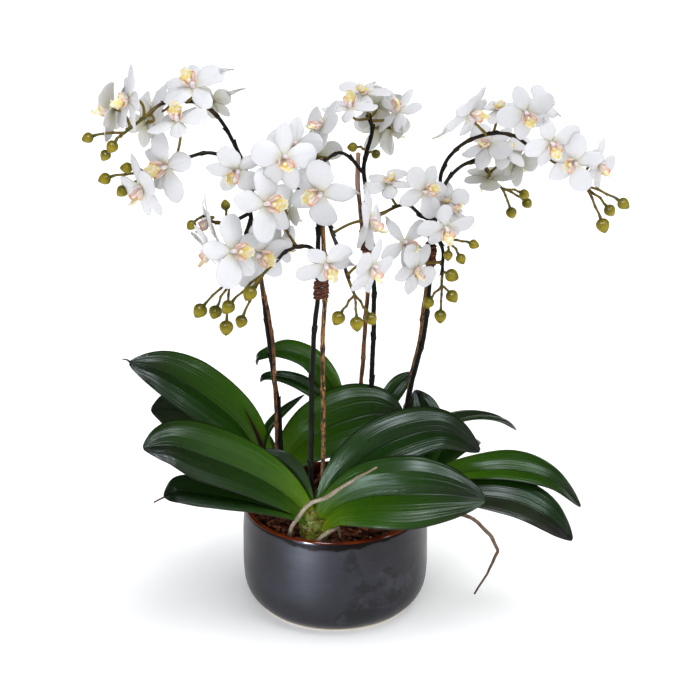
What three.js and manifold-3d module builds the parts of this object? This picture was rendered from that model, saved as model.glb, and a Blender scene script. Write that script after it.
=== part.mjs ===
// A potted moth orchid: four plants share one low glazed pot. Each plant has a rosette of strap leaves,
// a dark arching flower stem with branches, buds and white blooms, and a twig stake tied to the stem.
// Millimetres, +Z up, -Y to the front. The origin is the centre of the pot's foot.
import * as THREE from "three";
import { mergeVertices } from "three/addons/utils/BufferGeometryUtils.js";
import Module from "manifold-3d";

const wasm = await Module();
wasm.setup();

// Driving dimensions
const POT_RADIUS = 92.4;
const POT_HEIGHT = 104;
const POT_SEGMENTS = 32;
const FOOT_RADIUS = 78;
const MOUTH_RADIUS = 84.5;
const FLOOR_THICKNESS = 8;
const BARK_LEVEL = 93;
const BARK_RELIEF = 2.4;
const CLEARANCE = 0.35;
const STEM_RADIUS = 2.8;
const BRANCH_RADIUS = 1.9;
const PEDICEL_RADIUS = 1.3;
const STALK_RADIUS = 0.9;
const STAKE_RADIUS = 2.3;
const STAKE_FOOT = 58;
const TIE_THICKNESS = 3;
const TIE_WIDTH = 20;
const ROOT_RADIUS = 2.5;
const CROWN_RADIUS = 12;
const CROWN_TOP = 116;
const LEAF_THICKNESS = 2;
const LEAF_STEPS = 6;
const LEAF_TAPER = 0.64;
const SEPAL = { length: 30, halfWidth: 9 };
const PETAL = { length: 31, halfWidth: 12.5 };
const TEPAL_THICKNESS = 1.4;
const HUB_RADIUS = 7.5;
const HUB_DEPTH = 3;
const BUD_LENGTH = 13;
const BUD_RADIUS = 5.6;
const MIN_CROSSING = 0.001;

// How many sides the round pieces have
const SIDES = { stem: 6, branch: 4, pedicel: 3, bud: 5, stake: 6, root: 6, crown: 8 };

const FINISHES = {
  glaze: { color: 0x3b3a40, roughness: 0.25, metalness: 0.1 },
  bark: { color: 0x3a2013, roughness: 0.95, metalness: 0 },
  leaf: { color: 0x1f4a1a, roughness: 0.4, metalness: 0 },
  root: { color: 0x8c8069, roughness: 0.8, metalness: 0 },
  stem: { color: 0x23241c, roughness: 0.5, metalness: 0 },
  twig: { color: 0x5a3522, roughness: 0.85, metalness: 0 },
  raffia: { color: 0x4a2118, roughness: 0.9, metalness: 0 },
  petal: { color: 0xeeeef2, roughness: 0.6, metalness: 0 },
};

// The four rosettes. A leaf runs along its rib, from the crown to the tip, and its upper side looks
// towards "face".
const ROSETTES = {
  front: {
    crown: [-20, -50],
    leaves: [
      { rib: [[-22, -52, 108], [-44, -58, 136], [-74, -68, 163], [-118, -84, 192], [-154, -97, 211],
          [-178, -106, 213]],
        half: 31, face: [-0.15, -0.6, 0.8] },
      { rib: [[-22, -54, 102], [-44, -66, 122], [-80, -78, 141], [-120, -87, 154], [-150, -92, 160],
          [-162, -92, 156]],
        half: 21, face: [0.05, -0.35, 0.95] },
      { rib: [[-20, -46, 112], [-32, -44, 138], [-46, -46, 156], [-64, -50, 169], [-84, -54, 178]],
        half: 18, face: [-0.3, -0.75, 0.5] },
      { rib: [[-16, -48, 110], [-2, -52, 142], [20, -53, 168], [58, -50, 193], [104, -46, 202],
          [140, -44, 180]],
        half: 27, face: [0.2, -0.6, 0.75] },
      { rib: [[-16, -54, 104], [2, -66, 130], [28, -79, 147], [64, -92, 157], [104, -100, 161],
          [142, -104, 158]],
        half: 36, face: [0.1, -0.75, 0.65] },
    ],
  },
  left: {
    crown: [-66, 24],
    leaves: [
      { rib: [[-66, 24, 108], [-76, 25, 140], [-98, 24, 177], [-134, 22, 211], [-169, 22, 234],
          [-202, 22, 244]],
        half: 26, face: [0.35, -0.75, 0.6] },
      { rib: [[-68, 26, 104], [-82, 36, 130], [-104, 50, 150], [-143, 62, 166], [-170, 70, 172],
          [-188, 74, 170]],
        half: 25, face: [0, -0.6, 0.8] },
      { rib: [[-66, 26, 110], [-69, 32, 142], [-66, 36, 162], [-52, 44, 179], [-31, 54, 195]],
        half: 14, face: [-0.8, -0.1, 0.6] },
      { rib: [[-62, 26, 106], [-44, 34, 136], [-20, 34, 160], [12, 34, 175], [43, 37, 181],
          [70, 38, 175]],
        half: 35, face: [-0.1, -0.75, 0.62] },
      { rib: [[-66, 28, 102], [-74, 50, 118], [-92, 78, 128], [-114, 104, 128], [-132, 122, 116]],
        half: 27, face: [0, -0.1, 1] },
    ],
  },
  back: {
    crown: [10, 66],
    leaves: [
      { rib: [[12, 66, 108], [8, 70, 150], [-1, 74, 190], [-24, 84, 217], [-53, 92, 229], [-82, 97, 222]],
        half: 16, face: [-0.5, -0.1, 0.85] },
      { rib: [[10, 62, 104], [2, 64, 150], [-11, 67, 181], [-33, 73, 197], [-56, 79, 203],
          [-76, 83, 200]],
        half: 11, face: [-0.5, -0.2, 0.85] },
      { rib: [[14, 67, 108], [34, 70, 146], [52, 73, 180], [66, 81, 196], [79, 88, 205]],
        half: 10, face: [0.5, -0.2, 0.7] },
      { rib: [[11, 68, 102], [10, 90, 124], [4, 118, 136], [-8, 146, 132], [-18, 166, 116]],
        half: 30, face: [0, 0.1, 1] },
      { rib: [[14, 68, 102], [38, 88, 122], [62, 112, 132], [78, 136, 126], [88, 152, 112]],
        half: 27, face: [0, 0.1, 1] },
    ],
  },
  right: {
    crown: [62, 0],
    leaves: [
      { rib: [[64, 4, 110], [88, 15, 138], [92, 26, 165], [87, 36, 188], [80, 46, 204]],
        half: 18, face: [-0.1, -0.95, 0.3] },
      { rib: [[66, 2, 106], [88, 20, 142], [106, 32, 166], [138, 46, 172], [166, 54, 166],
          [183, 58, 154]],
        half: 20, face: [0.1, 0.25, 1] },
      { rib: [[66, 0, 108], [102, 2, 126], [142, 0, 136], [178, -4, 139], [215, -8, 130],
          [244, -10, 102]],
        half: 24, face: [0.1, -0.2, 1] },
      { rib: [[66, -4, 102], [102, -14, 114], [143, -24, 120], [180, -34, 118], [210, -43, 106],
          [233, -46, 84]],
        half: 26, face: [0.1, -0.36, 0.95] },
      { rib: [[64, 4, 102], [92, 32, 120], [112, 62, 130], [128, 92, 126], [142, 116, 112]],
        half: 27, face: [0.1, 0, 1] },
    ],
  },
};

// Aerial roots climb out of the bark beside the crowns.
const ROOTS = {
  root_over_leaf: [[-46, -58, 80], [-42, -67, 108], [-32, -80, 131], [-22, -89, 147], [-8, -94, 155],
    [10, -97, 170], [40, -96, 188]],
  root_loop: [[-22, -72, 80], [-17, -79, 99], [-10, -80, 108], [-1, -72, 109], [4, -62, 104], [5, -58, 80]],
  root_hanging: [[64, -34, 80], [69, -38, 108], [84, -50, 121], [106, -66, 128], [134, -80, 125],
    [150, -86, 110], [157, -88, 94], [148, -86, 70], [136, -84, 45]],
  root_left: [[-68, -8, 80], [-84, -14, 112], [-118, -30, 131], [-142, -36, 137], [-162, -40, 130],
    [-177, -40, 122]],
};

// The flower stems, each a main run out of the bark and the branches that grow from it.
const SPRAYS = {
  left: {
    main: [[-52, 8, 60], [-54, 9, 110], [-54, 10, 152], [-56, 10, 203], [-60, 9, 236], [-65, 8, 285],
      [-70, 6, 334], [-75, 4, 374], [-79, 3, 404], [-80, 1, 434], [-85, 0, 458]],
    branches: {
      left_arch: [[-84, 0, 456], [-98, -12, 491], [-110, -24, 513], [-128, -36, 526],
        [-153, -52, 529], [-169, -62, 519], [-187, -70, 507]],
      left_reach: [[-84, 0, 456], [-105, -2, 465], [-120, -6, 468], [-150, -18, 461], [-169, -26, 454]],
      left_side: [[-79, 3, 407], [-96, -10, 402], [-112, -20, 405], [-122, -26, 413]],
      left_low: [[-79, 3, 401], [-84, -16, 388], [-90, -32, 370], [-97, -44, 356]],
    },
  },
  front: {
    main: [[-22, -32, 60], [-23, -35, 124], [-23, -37, 175], [-22, -35, 239], [-19, -33, 302],
      [-16, -31, 329], [-15, -28, 378], [-16, -25, 416], [-23, -27, 429], [-40, -34, 449],
      [-51, -38, 455], [-64, -42, 455], [-75, -46, 448]],
    branches: {
      front_right: [[-16, -26, 414], [-8, -32, 415], [0, -46, 399], [6, -54, 387], [13, -66, 366],
        [19, -74, 353]],
      front_left: [[-15, -28, 377], [-25, -36, 387], [-42, -48, 388], [-54, -60, 381], [-65, -70, 372]],
    },
  },
  back: {
    main: [[36, 50, 60], [36, 50, 147], [36, 50, 202], [38, 51, 262], [38, 53, 315], [34, 56, 360],
      [31, 60, 402], [28, 64, 427], [30, 67, 443], [36, 73, 467], [33, 76, 477]],
    branches: {
      back_left: [[28, 64, 426], [23, 60, 433], [15, 54, 444], [6, 46, 452], [-2, 38, 452],
        [-10, 32, 448], [-20, 24, 454], [-31, 16, 462]],
    },
  },
  right: {
    main: [[62, 20, 60], [65, 20, 120], [69, 20, 172], [74, 20, 216], [86, 22, 268], [92, 25, 326],
      [94, 27, 357], [96, 29, 385], [98, 30, 405], [100, 31, 419]],
    branches: {
      right_arch: [[100, 31, 417], [102, 31, 438], [109, 29, 454], [126, 22, 471], [148, 10, 482],
        [166, -2, 484], [181, -12, 476], [197, -22, 468], [210, -30, 462], [230, -42, 448]],
      right_reach: [[100, 31, 417], [114, 44, 433], [129, 56, 439], [144, 68, 431], [151, 74, 418],
        [164, 84, 403]],
      right_twig: [[128, 56, 438], [147, 64, 444], [161, 72, 447]],
      right_inner: [[96, 29, 388], [84, 22, 396], [77, 17, 404], [69, 10, 412], [59, 2, 413],
        [42, -14, 410]],
      right_spur: [[94, 27, 370], [86, 18, 380], [79, 12, 380]],
      right_bud_spur: [[96, 28, 378], [103, 18, 379], [109, 10, 376]],
      right_low: [[96, 28, 376], [103, 16, 366], [103, 12, 346], [103, 12, 329]],
    },
  },
};

// Each twig stake stands in the bark beside its stem, and a raffia tie holds the two at the given height.
const STAKES = {
  left: { tieHeight: 383, path: [[-58, 4, 131], [-58, 4, 200], [-59, 3, 240], [-60, 3, 277],
    [-65, 2, 310], [-70, 0, 343], [-74, -1, 368], [-75, -3, 396]] },
  front: { tieHeight: 342, path: [[-12, -28, 135], [-11, -28, 236], [-11, -27, 299], [-9, -26, 340],
    [-10, -22, 388], [-11, -20, 412]] },
  back: { tieHeight: 358, path: [[26, 58, 143], [26, 58, 200], [30, 58, 269], [32, 59, 305],
    [28, 61, 357], [24, 63, 392], [22, 65, 417], [23, 70, 444]] },
  right: { tieHeight: 355, path: [[66, 27, 150], [73, 27, 212], [83, 29, 265], [87, 31, 300],
    [91, 33, 354], [92, 36, 382], [93, 37, 397]] },
};

// Blooms, listed by the branch that bears them. "turn" is how far a bloom looks to the right of straight
// ahead, "lift" how far above level, "roll" its turn about its own axis, "breadth" narrows its petals.
const BLOOMS = {
  left_arch: [
    { at: [-126, -50, 544], turn: -20, lift: 60, roll: -130, size: 0.95 },
    { at: [-181, -74, 540], turn: -70, lift: 10, roll: 70 },
    { at: [-196, -64, 528], turn: -110, lift: 10, roll: 50, size: 0.95 },
    { at: [-112, 2, 516], turn: 160, lift: 20, roll: -20, size: 0.66 },
    { at: [-167, -20, 516], turn: -60, lift: 35, size: 0.8 },
    { at: [-170, -36, 507], turn: -130, lift: -10, size: 0.75 },
  ],
  left_reach: [
    { at: [-138, -76, 520], turn: -50, lift: 70, roll: -130, size: 0.9 },
    { at: [-152, -52, 470], turn: -40, lift: 0, roll: -70, size: 1.05 },
    { at: [-176, -44, 447], turn: -50, lift: -10, roll: 20 },
  ],
  left_side: [{ at: [-116, -34, 413], turn: -75, lift: -15, size: 0.85 }],
  left_low: [
    { at: [-117, -42, 386], turn: -70, lift: -30, size: 0.9 },
    { at: [-91, -88, 401], turn: 40, lift: 20, roll: 70, size: 1.05 },
  ],
  front: [
    { at: [-88, -56, 468], turn: 0, lift: -20, roll: -60, size: 0.9 },
    { at: [-45, -62, 481], turn: 20, lift: 10, roll: -10 },
    { at: [-61, -76, 442], turn: 40, lift: 20, roll: 70, size: 1.08 },
    { at: [-13, -52, 445], turn: -20, lift: -10, roll: -90, size: 1.08 },
  ],
  front_left: [
    { at: [-69, -60, 388], turn: 20, lift: 0, roll: 70, size: 1.05 },
    { at: [-50, -30, 388], turn: 60, lift: 10, size: 0.8 },
    { at: [-43, -22, 416], turn: 110, lift: -10, size: 0.8 },
  ],
  front_right: [
    { at: [-7, -88, 389], turn: 20, lift: -30, roll: 40, size: 0.92 },
    { at: [35, -78, 382], turn: 50, lift: -10, roll: -20, size: 0.9 },
    { at: [33, -38, 413], turn: 70, lift: 5, roll: -20 },
  ],
  back: [
    { at: [29, 68, 504], turn: -20, lift: 75, size: 0.85, breadth: 0.8 },
    { at: [15, 36, 499], turn: -50, lift: 80, roll: -140, size: 0.85, breadth: 0.85 },
    { at: [40, 94, 484], turn: 180, lift: 20, size: 0.9 },
    { at: [46, 110, 457], turn: 165, lift: -20, size: 0.9, breadth: 0.85 },
    { at: [60, 72, 485], turn: -50, lift: 40, roll: 150, size: 0.85, breadth: 0.75 },
    { at: [55, 84, 465], turn: 110, lift: -10, size: 0.85, breadth: 0.8 },
  ],
  back_left: [
    { at: [-36, 6, 472], turn: -10, lift: 20, size: 0.85 },
    { at: [-11, 20, 488], turn: -60, lift: 30, size: 0.85 },
    { at: [-18, 54, 450], turn: 170, lift: 0, size: 0.8 },
  ],
  right_arch: [
    { at: [125, -2, 504], turn: 52, lift: -25, roll: 125, size: 0.95 },
    { at: [153, 28, 500], turn: 10, lift: 80, size: 0.75 },
    { at: [175, -26, 513], turn: 10, lift: -10, roll: 20, size: 0.88 },
    { at: [190, 10, 508], turn: 50, lift: 45, roll: 30, size: 0.8 },
    { at: [195, -66, 497], turn: 20, lift: -20, roll: 20, size: 0.85 },
    { at: [217, -62, 477], turn: -10, lift: 0, roll: -80, size: 0.88 },
    { at: [242, -44, 469], turn: 55, lift: 0, roll: -25, size: 0.8 },
  ],
  right_reach: [
    { at: [176, 76, 435], turn: 130, lift: -20, size: 0.9 },
    { at: [149, 56, 423], turn: 170, lift: -80, roll: 90, size: 0.8 },
  ],
  right_twig: [
    { at: [147, 52, 458], turn: -30, lift: 55, roll: -30, size: 0.9 },
    { at: [163, 60, 452], turn: 20, lift: 60, size: 0.85 },
  ],
  right_inner: [
    { at: [50, 10, 434], turn: -20, lift: 75, roll: 60, size: 0.8 },
    { at: [84, -14, 434], turn: 30, lift: 10, roll: 110, size: 0.85 },
  ],
  right: [
    { at: [106, 24, 412], turn: 0, lift: 50, size: 0.7 },
    { at: [109, 8, 406], turn: 70, lift: 65, roll: -10, size: 0.8 },
    { at: [104, -22, 401], turn: 20, lift: -30, roll: 10, size: 0.88 },
  ],
  right_low: [{ at: [78, -20, 359], turn: 40, lift: 0, roll: -50, size: 0.85 }],
  right_spur: [{ at: [66, -14, 382], turn: 30, lift: 15, roll: 30, size: 0.9, breadth: 0.65 }],
};

// Buds hang from the branch that they are listed under. Each is x, y, z and size.
const BUDS = {
  left_arch: [[-197, -78, 497, 0.95], [-218, -78, 505, 0.85], [-204, -72, 487, 0.85]],
  left_reach: [[-190, -32, 462, 0.9], [-210, -36, 453, 0.95], [-196, -24, 437, 0.95]],
  left_side: [[-102, -6, 417, 0.8], [-132, -36, 408, 0.8]],
  left_low: [[-125, -54, 330, 1.15], [-112, -38, 322, 1.1], [-101, -54, 313, 1.15]],
  front_left: [[-77, -78, 357, 1.15], [-97, -80, 344, 1.1], [-86, -68, 325, 1]],
  front_right: [[4, -82, 334, 1.1], [21, -88, 331, 1.1], [34, -74, 330, 1]],
  back: [[17, 60, 453, 0.8], [40, 82, 439, 0.8]],
  right_bud_spur: [[132, 2, 375, 0.8], [108, 2, 364, 0.8], [120, -2, 362, 0.85]],
  right_low: [[112, 6, 342, 1.1], [113, 10, 319, 1.05], [90, 4, 315, 0.95], [102, 6, 300, 1.05]],
  right_arch: [[264, -54, 435, 0.95], [254, -38, 423, 0.95], [246, -56, 415, 1.1]],
  right_reach: [[186, 88, 396, 0.85], [190, 98, 383, 0.9], [174, 90, 376, 0.95]],
};

const UP = new THREE.Vector3(0, 0, 1);

function seeded(seed) {
  let state = seed;
  return () => {
    state = (state * 1664525 + 1013904223) % 4294967296;
    return state / 4294967296;
  };
}

function point(xyz) {
  return new THREE.Vector3(xyz[0], xyz[1], xyz[2]);
}

// Closed solids

function solidFrom(positions, triangles) {
  return new wasm.Manifold(
    new wasm.Mesh({
      numProp: 3,
      vertProperties: new Float32Array(positions.flatMap((p) => [p.x, p.y, p.z])),
      triVerts: new Uint32Array(triangles),
    }),
  );
}

function fromGeometry(geometry) {
  const bare = new THREE.BufferGeometry();
  bare.setAttribute("position", geometry.getAttribute("position"));
  bare.setIndex(geometry.index);
  const merged = mergeVertices(bare, 1e-4);
  const vertProperties = merged.attributes.position.array;
  const triVerts = new Uint32Array(merged.index.array);
  return new wasm.Manifold(new wasm.Mesh({ numProp: 3, vertProperties, triVerts }));
}

// A skin over rings of points. A first or last ring of one point is a pole, any other end gets a flat
// cap. "mirrored" says which strips are split along their other diagonal, so that both faces of a blade
// match.
function loft(rings, mirrored = () => false) {
  const triangles = [];
  const starts = [];
  let total = 0;
  for (const ring of rings) {
    starts.push(total);
    total += ring.length;
  }
  const fan = (pole, start, count, outwards) => {
    for (let i = 0; i < count; i++) {
      const next = start + ((i + 1) % count);
      triangles.push(...(outwards ? [start + i, next, pole] : [next, start + i, pole]));
    }
  };
  for (let r = 0; r + 1 < rings.length; r++) {
    const low = starts[r];
    const high = starts[r + 1];
    if (rings[r].length === 1) {
      fan(low, high, rings[r + 1].length, false);
      continue;
    }
    if (rings[r + 1].length === 1) {
      fan(high, low, rings[r].length, true);
      continue;
    }
    const count = rings[r].length;
    for (let i = 0; i < count; i++) {
      const next = (i + 1) % count;
      const [a, b, c, d] = [low + i, low + next, high + i, high + next];
      triangles.push(...(mirrored(i) ? [a, b, c, b, d, c] : [a, b, d, a, d, c]));
    }
  }
  const first = rings[0].length;
  for (let i = 1; i + 1 < first; i++) triangles.push(0, i + 1, i);
  const last = rings.at(-1).length;
  const lastStart = starts.at(-1);
  for (let i = 1; i + 1 < last; i++) triangles.push(lastStart, lastStart + i, lastStart + i + 1);
  return solidFrom(rings.flat(), triangles);
}

function tangentAt(path, i) {
  const before = path[Math.max(i - 1, 0)];
  const after = path[Math.min(i + 1, path.length - 1)];
  return after.clone().sub(before).normalize();
}

function across(direction) {
  const reference = Math.abs(direction.x) < 0.6 ? new THREE.Vector3(1, 0, 0) : new THREE.Vector3(0, 1, 0);
  return reference.addScaledVector(direction, -reference.dot(direction)).normalize();
}

function circle(centre, axis, side, radius, sides) {
  const other = axis.clone().cross(side);
  const ring = [];
  for (let k = 0; k < sides; k++) {
    const angle = (2 * Math.PI * k) / sides;
    const spoke = side.clone().multiplyScalar(Math.cos(angle) * radius);
    ring.push(spoke.addScaledVector(other, Math.sin(angle) * radius).add(centre));
  }
  return ring;
}

// A round rod along a path, with a radius for each of its points.
function rod(path, radii, sides) {
  let side = across(tangentAt(path, 0));
  const rings = path.map((centre, i) => {
    const tangent = tangentAt(path, i);
    side = side.clone().addScaledVector(tangent, -side.dot(tangent)).normalize();
    return circle(centre, tangent, side, radii[i], sides);
  });
  return loft(rings);
}

function joined(solids) {
  return solids.reduce((whole, solid) => whole.add(solid));
}

// The largest body of a solid: scraps left by a cut go, and so does the skin of a sealed hollow.
function mainBody(solid) {
  const bodies = solid.decompose();
  return bodies.reduce((best, body) => (body.volume() > best.volume() ? body : best));
}

// Paths

function nearestOn(path, target) {
  let best = path[0];
  let shortest = Infinity;
  const spot = new THREE.Vector3();
  for (let i = 0; i + 1 < path.length; i++) {
    new THREE.Line3(path[i], path[i + 1]).closestPointToPoint(target, true, spot);
    const distance = spot.distanceTo(target);
    if (distance < shortest) {
      shortest = distance;
      best = spot.clone();
    }
  }
  return best;
}

// A path beside another, moved level and outwards wherever it comes too near.
function keptBeside(path, other, distance) {
  return path.map((spot) => {
    const near = nearestOn(other, spot);
    const away = spot.clone().sub(near).setZ(0);
    const gap = away.length();
    return gap < distance ? spot.clone().addScaledVector(away.normalize(), distance - gap) : spot;
  });
}

// The pot and the bark

function turned(profile) {
  const points = profile.map(([r, z]) => new THREE.Vector2(r, z));
  return fromGeometry(new THREE.LatheGeometry(points, POT_SEGMENTS).rotateX(Math.PI / 2));
}

const POT_INSIDE = [
  [MOUTH_RADIUS, POT_HEIGHT - 2],
  [MOUTH_RADIUS + 1, 60],
  [MOUTH_RADIUS - 1, 22],
  [FOOT_RADIUS - 3, FLOOR_THICKNESS],
];

function pot() {
  const outside = [
    [0, 0],
    [FOOT_RADIUS, 0],
    [FOOT_RADIUS + 2, 3],
    [POT_RADIUS - 5.5, 9],
    [POT_RADIUS - 1.2, 20],
    [POT_RADIUS, 42],
    [POT_RADIUS - 0.4, 75],
    [POT_RADIUS - 1.4, POT_HEIGHT - 6],
    [POT_RADIUS - 2.1, POT_HEIGHT - 1],
    [POT_RADIUS - 3.4, POT_HEIGHT],
    [MOUTH_RADIUS + 1, POT_HEIGHT],
  ];
  return turned([...outside, ...POT_INSIDE, [0, FLOOR_THICKNESS]]);
}

// The bark fills the pot below its lip. Its top is rough and a little domed.
function bark() {
  const random = seeded(7);
  const count = POT_SEGMENTS;
  const wall = POT_INSIDE.slice(1).map(([r, z]) => [r - CLEARANCE, z]);
  const floor = FLOOR_THICKNESS + CLEARANCE;
  wall[wall.length - 1][1] = floor;
  const level = (radius, z) => {
    const ring = [];
    for (let k = 0; k < count; k++) {
      const angle = (2 * Math.PI * k) / count;
      ring.push(new THREE.Vector3(radius * Math.cos(angle), radius * Math.sin(angle), z(angle)));
    }
    return ring;
  };
  const rings = [[new THREE.Vector3(0, 0, floor)]];
  for (const [radius, z] of wall.reverse()) rings.push(level(radius, () => z));
  for (const share of [1, 0.55]) {
    const radius = (MOUTH_RADIUS - CLEARANCE) * share;
    const dome = 2.5 * (1 - share);
    rings.push(level(radius, () => BARK_LEVEL + dome + BARK_RELIEF * (2 * random() - 1)));
  }
  rings.push([new THREE.Vector3(0, 0, BARK_LEVEL + 2)]);
  return loft(rings);
}

// The leaves and their crowns

function leafWidth(share) {
  const spread = 0.2 + 0.8 * THREE.MathUtils.smoothstep(share, -0.1, 0.6);
  const tip = Math.max(0, (share - LEAF_TAPER) / (1 - LEAF_TAPER));
  return spread * (1 - 0.97 * tip ** 1.6) ** 0.75;
}

// A strap leaf: grooved along the rib, folded at its foot and flatter towards the tip.
function leaf({ rib, half, face }, grow) {
  const path = new THREE.CatmullRomCurve3(rib.map(point), false, "centripetal").getPoints(LEAF_STEPS);
  const faceTo = point(face);
  const rings = path.map((centre, i) => {
    const share = i / LEAF_STEPS;
    const tangent = tangentAt(path, i);
    const side = tangent.clone().cross(faceTo).normalize();
    const normal = side.clone().cross(tangent);
    const width = half * leafWidth(share);
    const raised = width * (0.55 - 0.5 * share);
    const middle = LEAF_THICKNESS / 2 + grow;
    const margin = LEAF_THICKNESS * 0.32 + grow;
    const at = (sideways, height) =>
      centre.clone().addScaledVector(side, sideways).addScaledVector(normal, height);
    const reach = width + grow;
    return [
      at(-reach, raised + margin),
      at(0, middle),
      at(reach, raised + margin),
      at(reach, raised - margin),
      at(0, -middle),
      at(-reach, raised - margin),
    ];
  });
  return loft(rings, (strip) => strip >= 3);
}

function crown([x, y], grow) {
  const radius = CROWN_RADIUS + grow;
  const levels = [
    [72 - grow, radius * 0.8],
    [88, radius],
    [104, radius],
    [CROWN_TOP - 4, radius * 0.7],
  ];
  const side = new THREE.Vector3(1, 0, 0);
  const rings = levels.map(([z, r]) => circle(new THREE.Vector3(x, y, z), UP, side, r, SIDES.crown));
  return loft([...rings, [new THREE.Vector3(x, y, CROWN_TOP + grow)]]);
}

function rosette(plant, grow = 0) {
  return joined([crown(plant.crown, grow), ...plant.leaves.map((each) => leaf(each, grow))]);
}

function root(path, grow = 0) {
  const spots = path.map(point);
  const radii = spots.map((_, i) => ROOT_RADIUS * (i === spots.length - 1 ? 0.6 : 1) + grow);
  return rod(spots, radii, SIDES.root);
}

// Stems, buds, stakes and ties

const BUD_PROFILE = [
  [-0.46, 0.3],
  [0.02, 1.08],
];

// The path of a spray's branch, or of its main stem where the name is no branch of it.
function pathOf(name, branch = name) {
  const spray = SPRAYS[name];
  return (spray.branches[branch] ?? spray.main).map(point);
}

function bud(path, [x, y, z, size], grow) {
  const centre = new THREE.Vector3(x, y, z);
  const foot = nearestOn(path, centre);
  const axis = centre.clone().sub(foot).normalize().addScaledVector(UP, -0.25).normalize();
  const at = (share) => centre.clone().addScaledVector(axis, share * BUD_LENGTH * size);
  const along = centre.clone().sub(foot).normalize();
  const side = across(axis);
  const stalk = circle(foot, along, across(along), STALK_RADIUS + grow, SIDES.bud);
  const radius = BUD_RADIUS * size;
  const egg = BUD_PROFILE.map(([share, r]) => circle(at(share), axis, side, radius * r + grow, SIDES.bud));
  return loft([stalk, ...egg, [at(0.52).addScaledVector(axis, grow)]]);
}

// The directions of a bloom: to its right, up and out of its face.
function bloomFrame({ at, turn, lift, roll = 0 }) {
  const a = THREE.MathUtils.degToRad(turn);
  const e = THREE.MathUtils.degToRad(lift);
  const out = new THREE.Vector3(Math.sin(a) * Math.cos(e), -Math.cos(a) * Math.cos(e), Math.sin(e));
  const up = new THREE.Vector3(-Math.sin(a) * Math.sin(e), Math.cos(a) * Math.sin(e), Math.cos(e));
  up.applyAxisAngle(out, THREE.MathUtils.degToRad(roll));
  return { centre: point(at), right: up.clone().cross(out), up, out };
}

// A bloom's own stalk leaves the branch and meets the flower from behind.
function pedicel(path, flower, grow) {
  const { centre, out } = bloomFrame(flower);
  const end = centre.clone().addScaledVector(out, -HUB_DEPTH * (flower.size ?? 1) - CLEARANCE);
  const start = nearestOn(path, end);
  const reach = Math.min(start.distanceTo(end) * 0.45, 12);
  const bend = end.clone().addScaledVector(out, -reach);
  const radius = PEDICEL_RADIUS + grow;
  return rod([start, bend, end], [radius, radius, radius], SIDES.pedicel);
}

// A flower stem with its branches, pedicels and buds.
function flowerStem(name, grow = 0) {
  const main = pathOf(name);
  const taper = main.map((_, i) => STEM_RADIUS * (1 - 0.3 * (i / (main.length - 1))) + grow);
  const pieces = [rod(main, taper, SIDES.stem)];
  const branches = Object.keys(SPRAYS[name].branches);
  for (const branch of branches) {
    const path = pathOf(name, branch);
    const radii = path.map((_, i) => BRANCH_RADIUS * (1 - 0.25 * (i / (path.length - 1))) + grow);
    pieces.push(rod(path, radii, SIDES.branch));
  }
  for (const bearer of [name, ...branches]) {
    const path = pathOf(name, bearer);
    for (const flower of BLOOMS[bearer] ?? []) pieces.push(pedicel(path, flower, grow));
    for (const each of BUDS[bearer] ?? []) pieces.push(bud(path, each, grow));
  }
  return joined(pieces);
}

function stakePath(name) {
  const stem = pathOf(name);
  const path = STAKES[name].path.map(point);
  const foot = path[0].clone().setZ(STAKE_FOOT);
  return keptBeside([foot, ...path], stem, STEM_RADIUS + STAKE_RADIUS + 2 * CLEARANCE);
}

function stake(name, grow = 0) {
  const path = stakePath(name);
  const radii = path.map((_, i) => STAKE_RADIUS * (1 + 0.12 * Math.sin(2.4 * i)) + grow);
  return rod(path, radii, SIDES.stake);
}

function pathPointAt(path, height) {
  const i = path.findIndex((spot, k) => k + 1 < path.length && path[k + 1].z >= height);
  const [low, high] = [path[i], path[i + 1]];
  return low.clone().lerp(high, (height - low.z) / (high.z - low.z));
}

// A raffia tie: a knobbly band wound round a stem and its stake.
function tie(name) {
  const stem = pathOf(name);
  const twig = stakePath(name);
  const height = STAKES[name].tieHeight;
  const heights = [-0.5, 0, 0.5].map((share) => height + share * TIE_WIDTH);
  const bulge = [0.6, 1.1, 0.7];
  const outline = (z, margin) => {
    const a = pathPointAt(stem, z);
    const b = pathPointAt(twig, z);
    const axis = b.clone().sub(a).setZ(0).normalize();
    const sideways = UP.clone().cross(axis);
    const corner = (centre, radius, angle) =>
      centre
        .clone()
        .addScaledVector(axis, Math.cos(angle) * (radius + margin))
        .addScaledVector(sideways, Math.sin(angle) * (radius + margin))
        .setZ(z);
    const quarter = Math.PI / 2;
    const far = [-1, 0, 1].map((share) => corner(b, STAKE_RADIUS * 1.12, share * quarter));
    const near = [-1, 0, 1].map((share) => corner(a, STEM_RADIUS, (2 + share) * quarter));
    return [...far, ...near];
  };
  const rings = heights.map((z, i) => outline(z, TIE_THICKNESS * bulge[i] + CLEARANCE * 3));
  const holes = [heights[0] - 1, heights[1], heights[2] + 1].map((z) => outline(z, CLEARANCE * 3));
  return loft(rings).subtract(loft(holes));
}

// The blooms: five petals in two layers round a lip that hooks forwards and down

const TEPALS = [
  { angle: 240, layer: -1, kind: SEPAL },
  { angle: 300, layer: -1, kind: SEPAL },
  { angle: 369, layer: 1, kind: PETAL },
  { angle: 450, layer: -1, kind: SEPAL },
  { angle: 531, layer: 1, kind: PETAL },
];
const GAPS = [206, 270, 334, 409, 491];
const LIP = { out: 11, down: 5, across: 9, tall: 6 };
const LIP_TIP = { out: 18, down: 10 };

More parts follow.
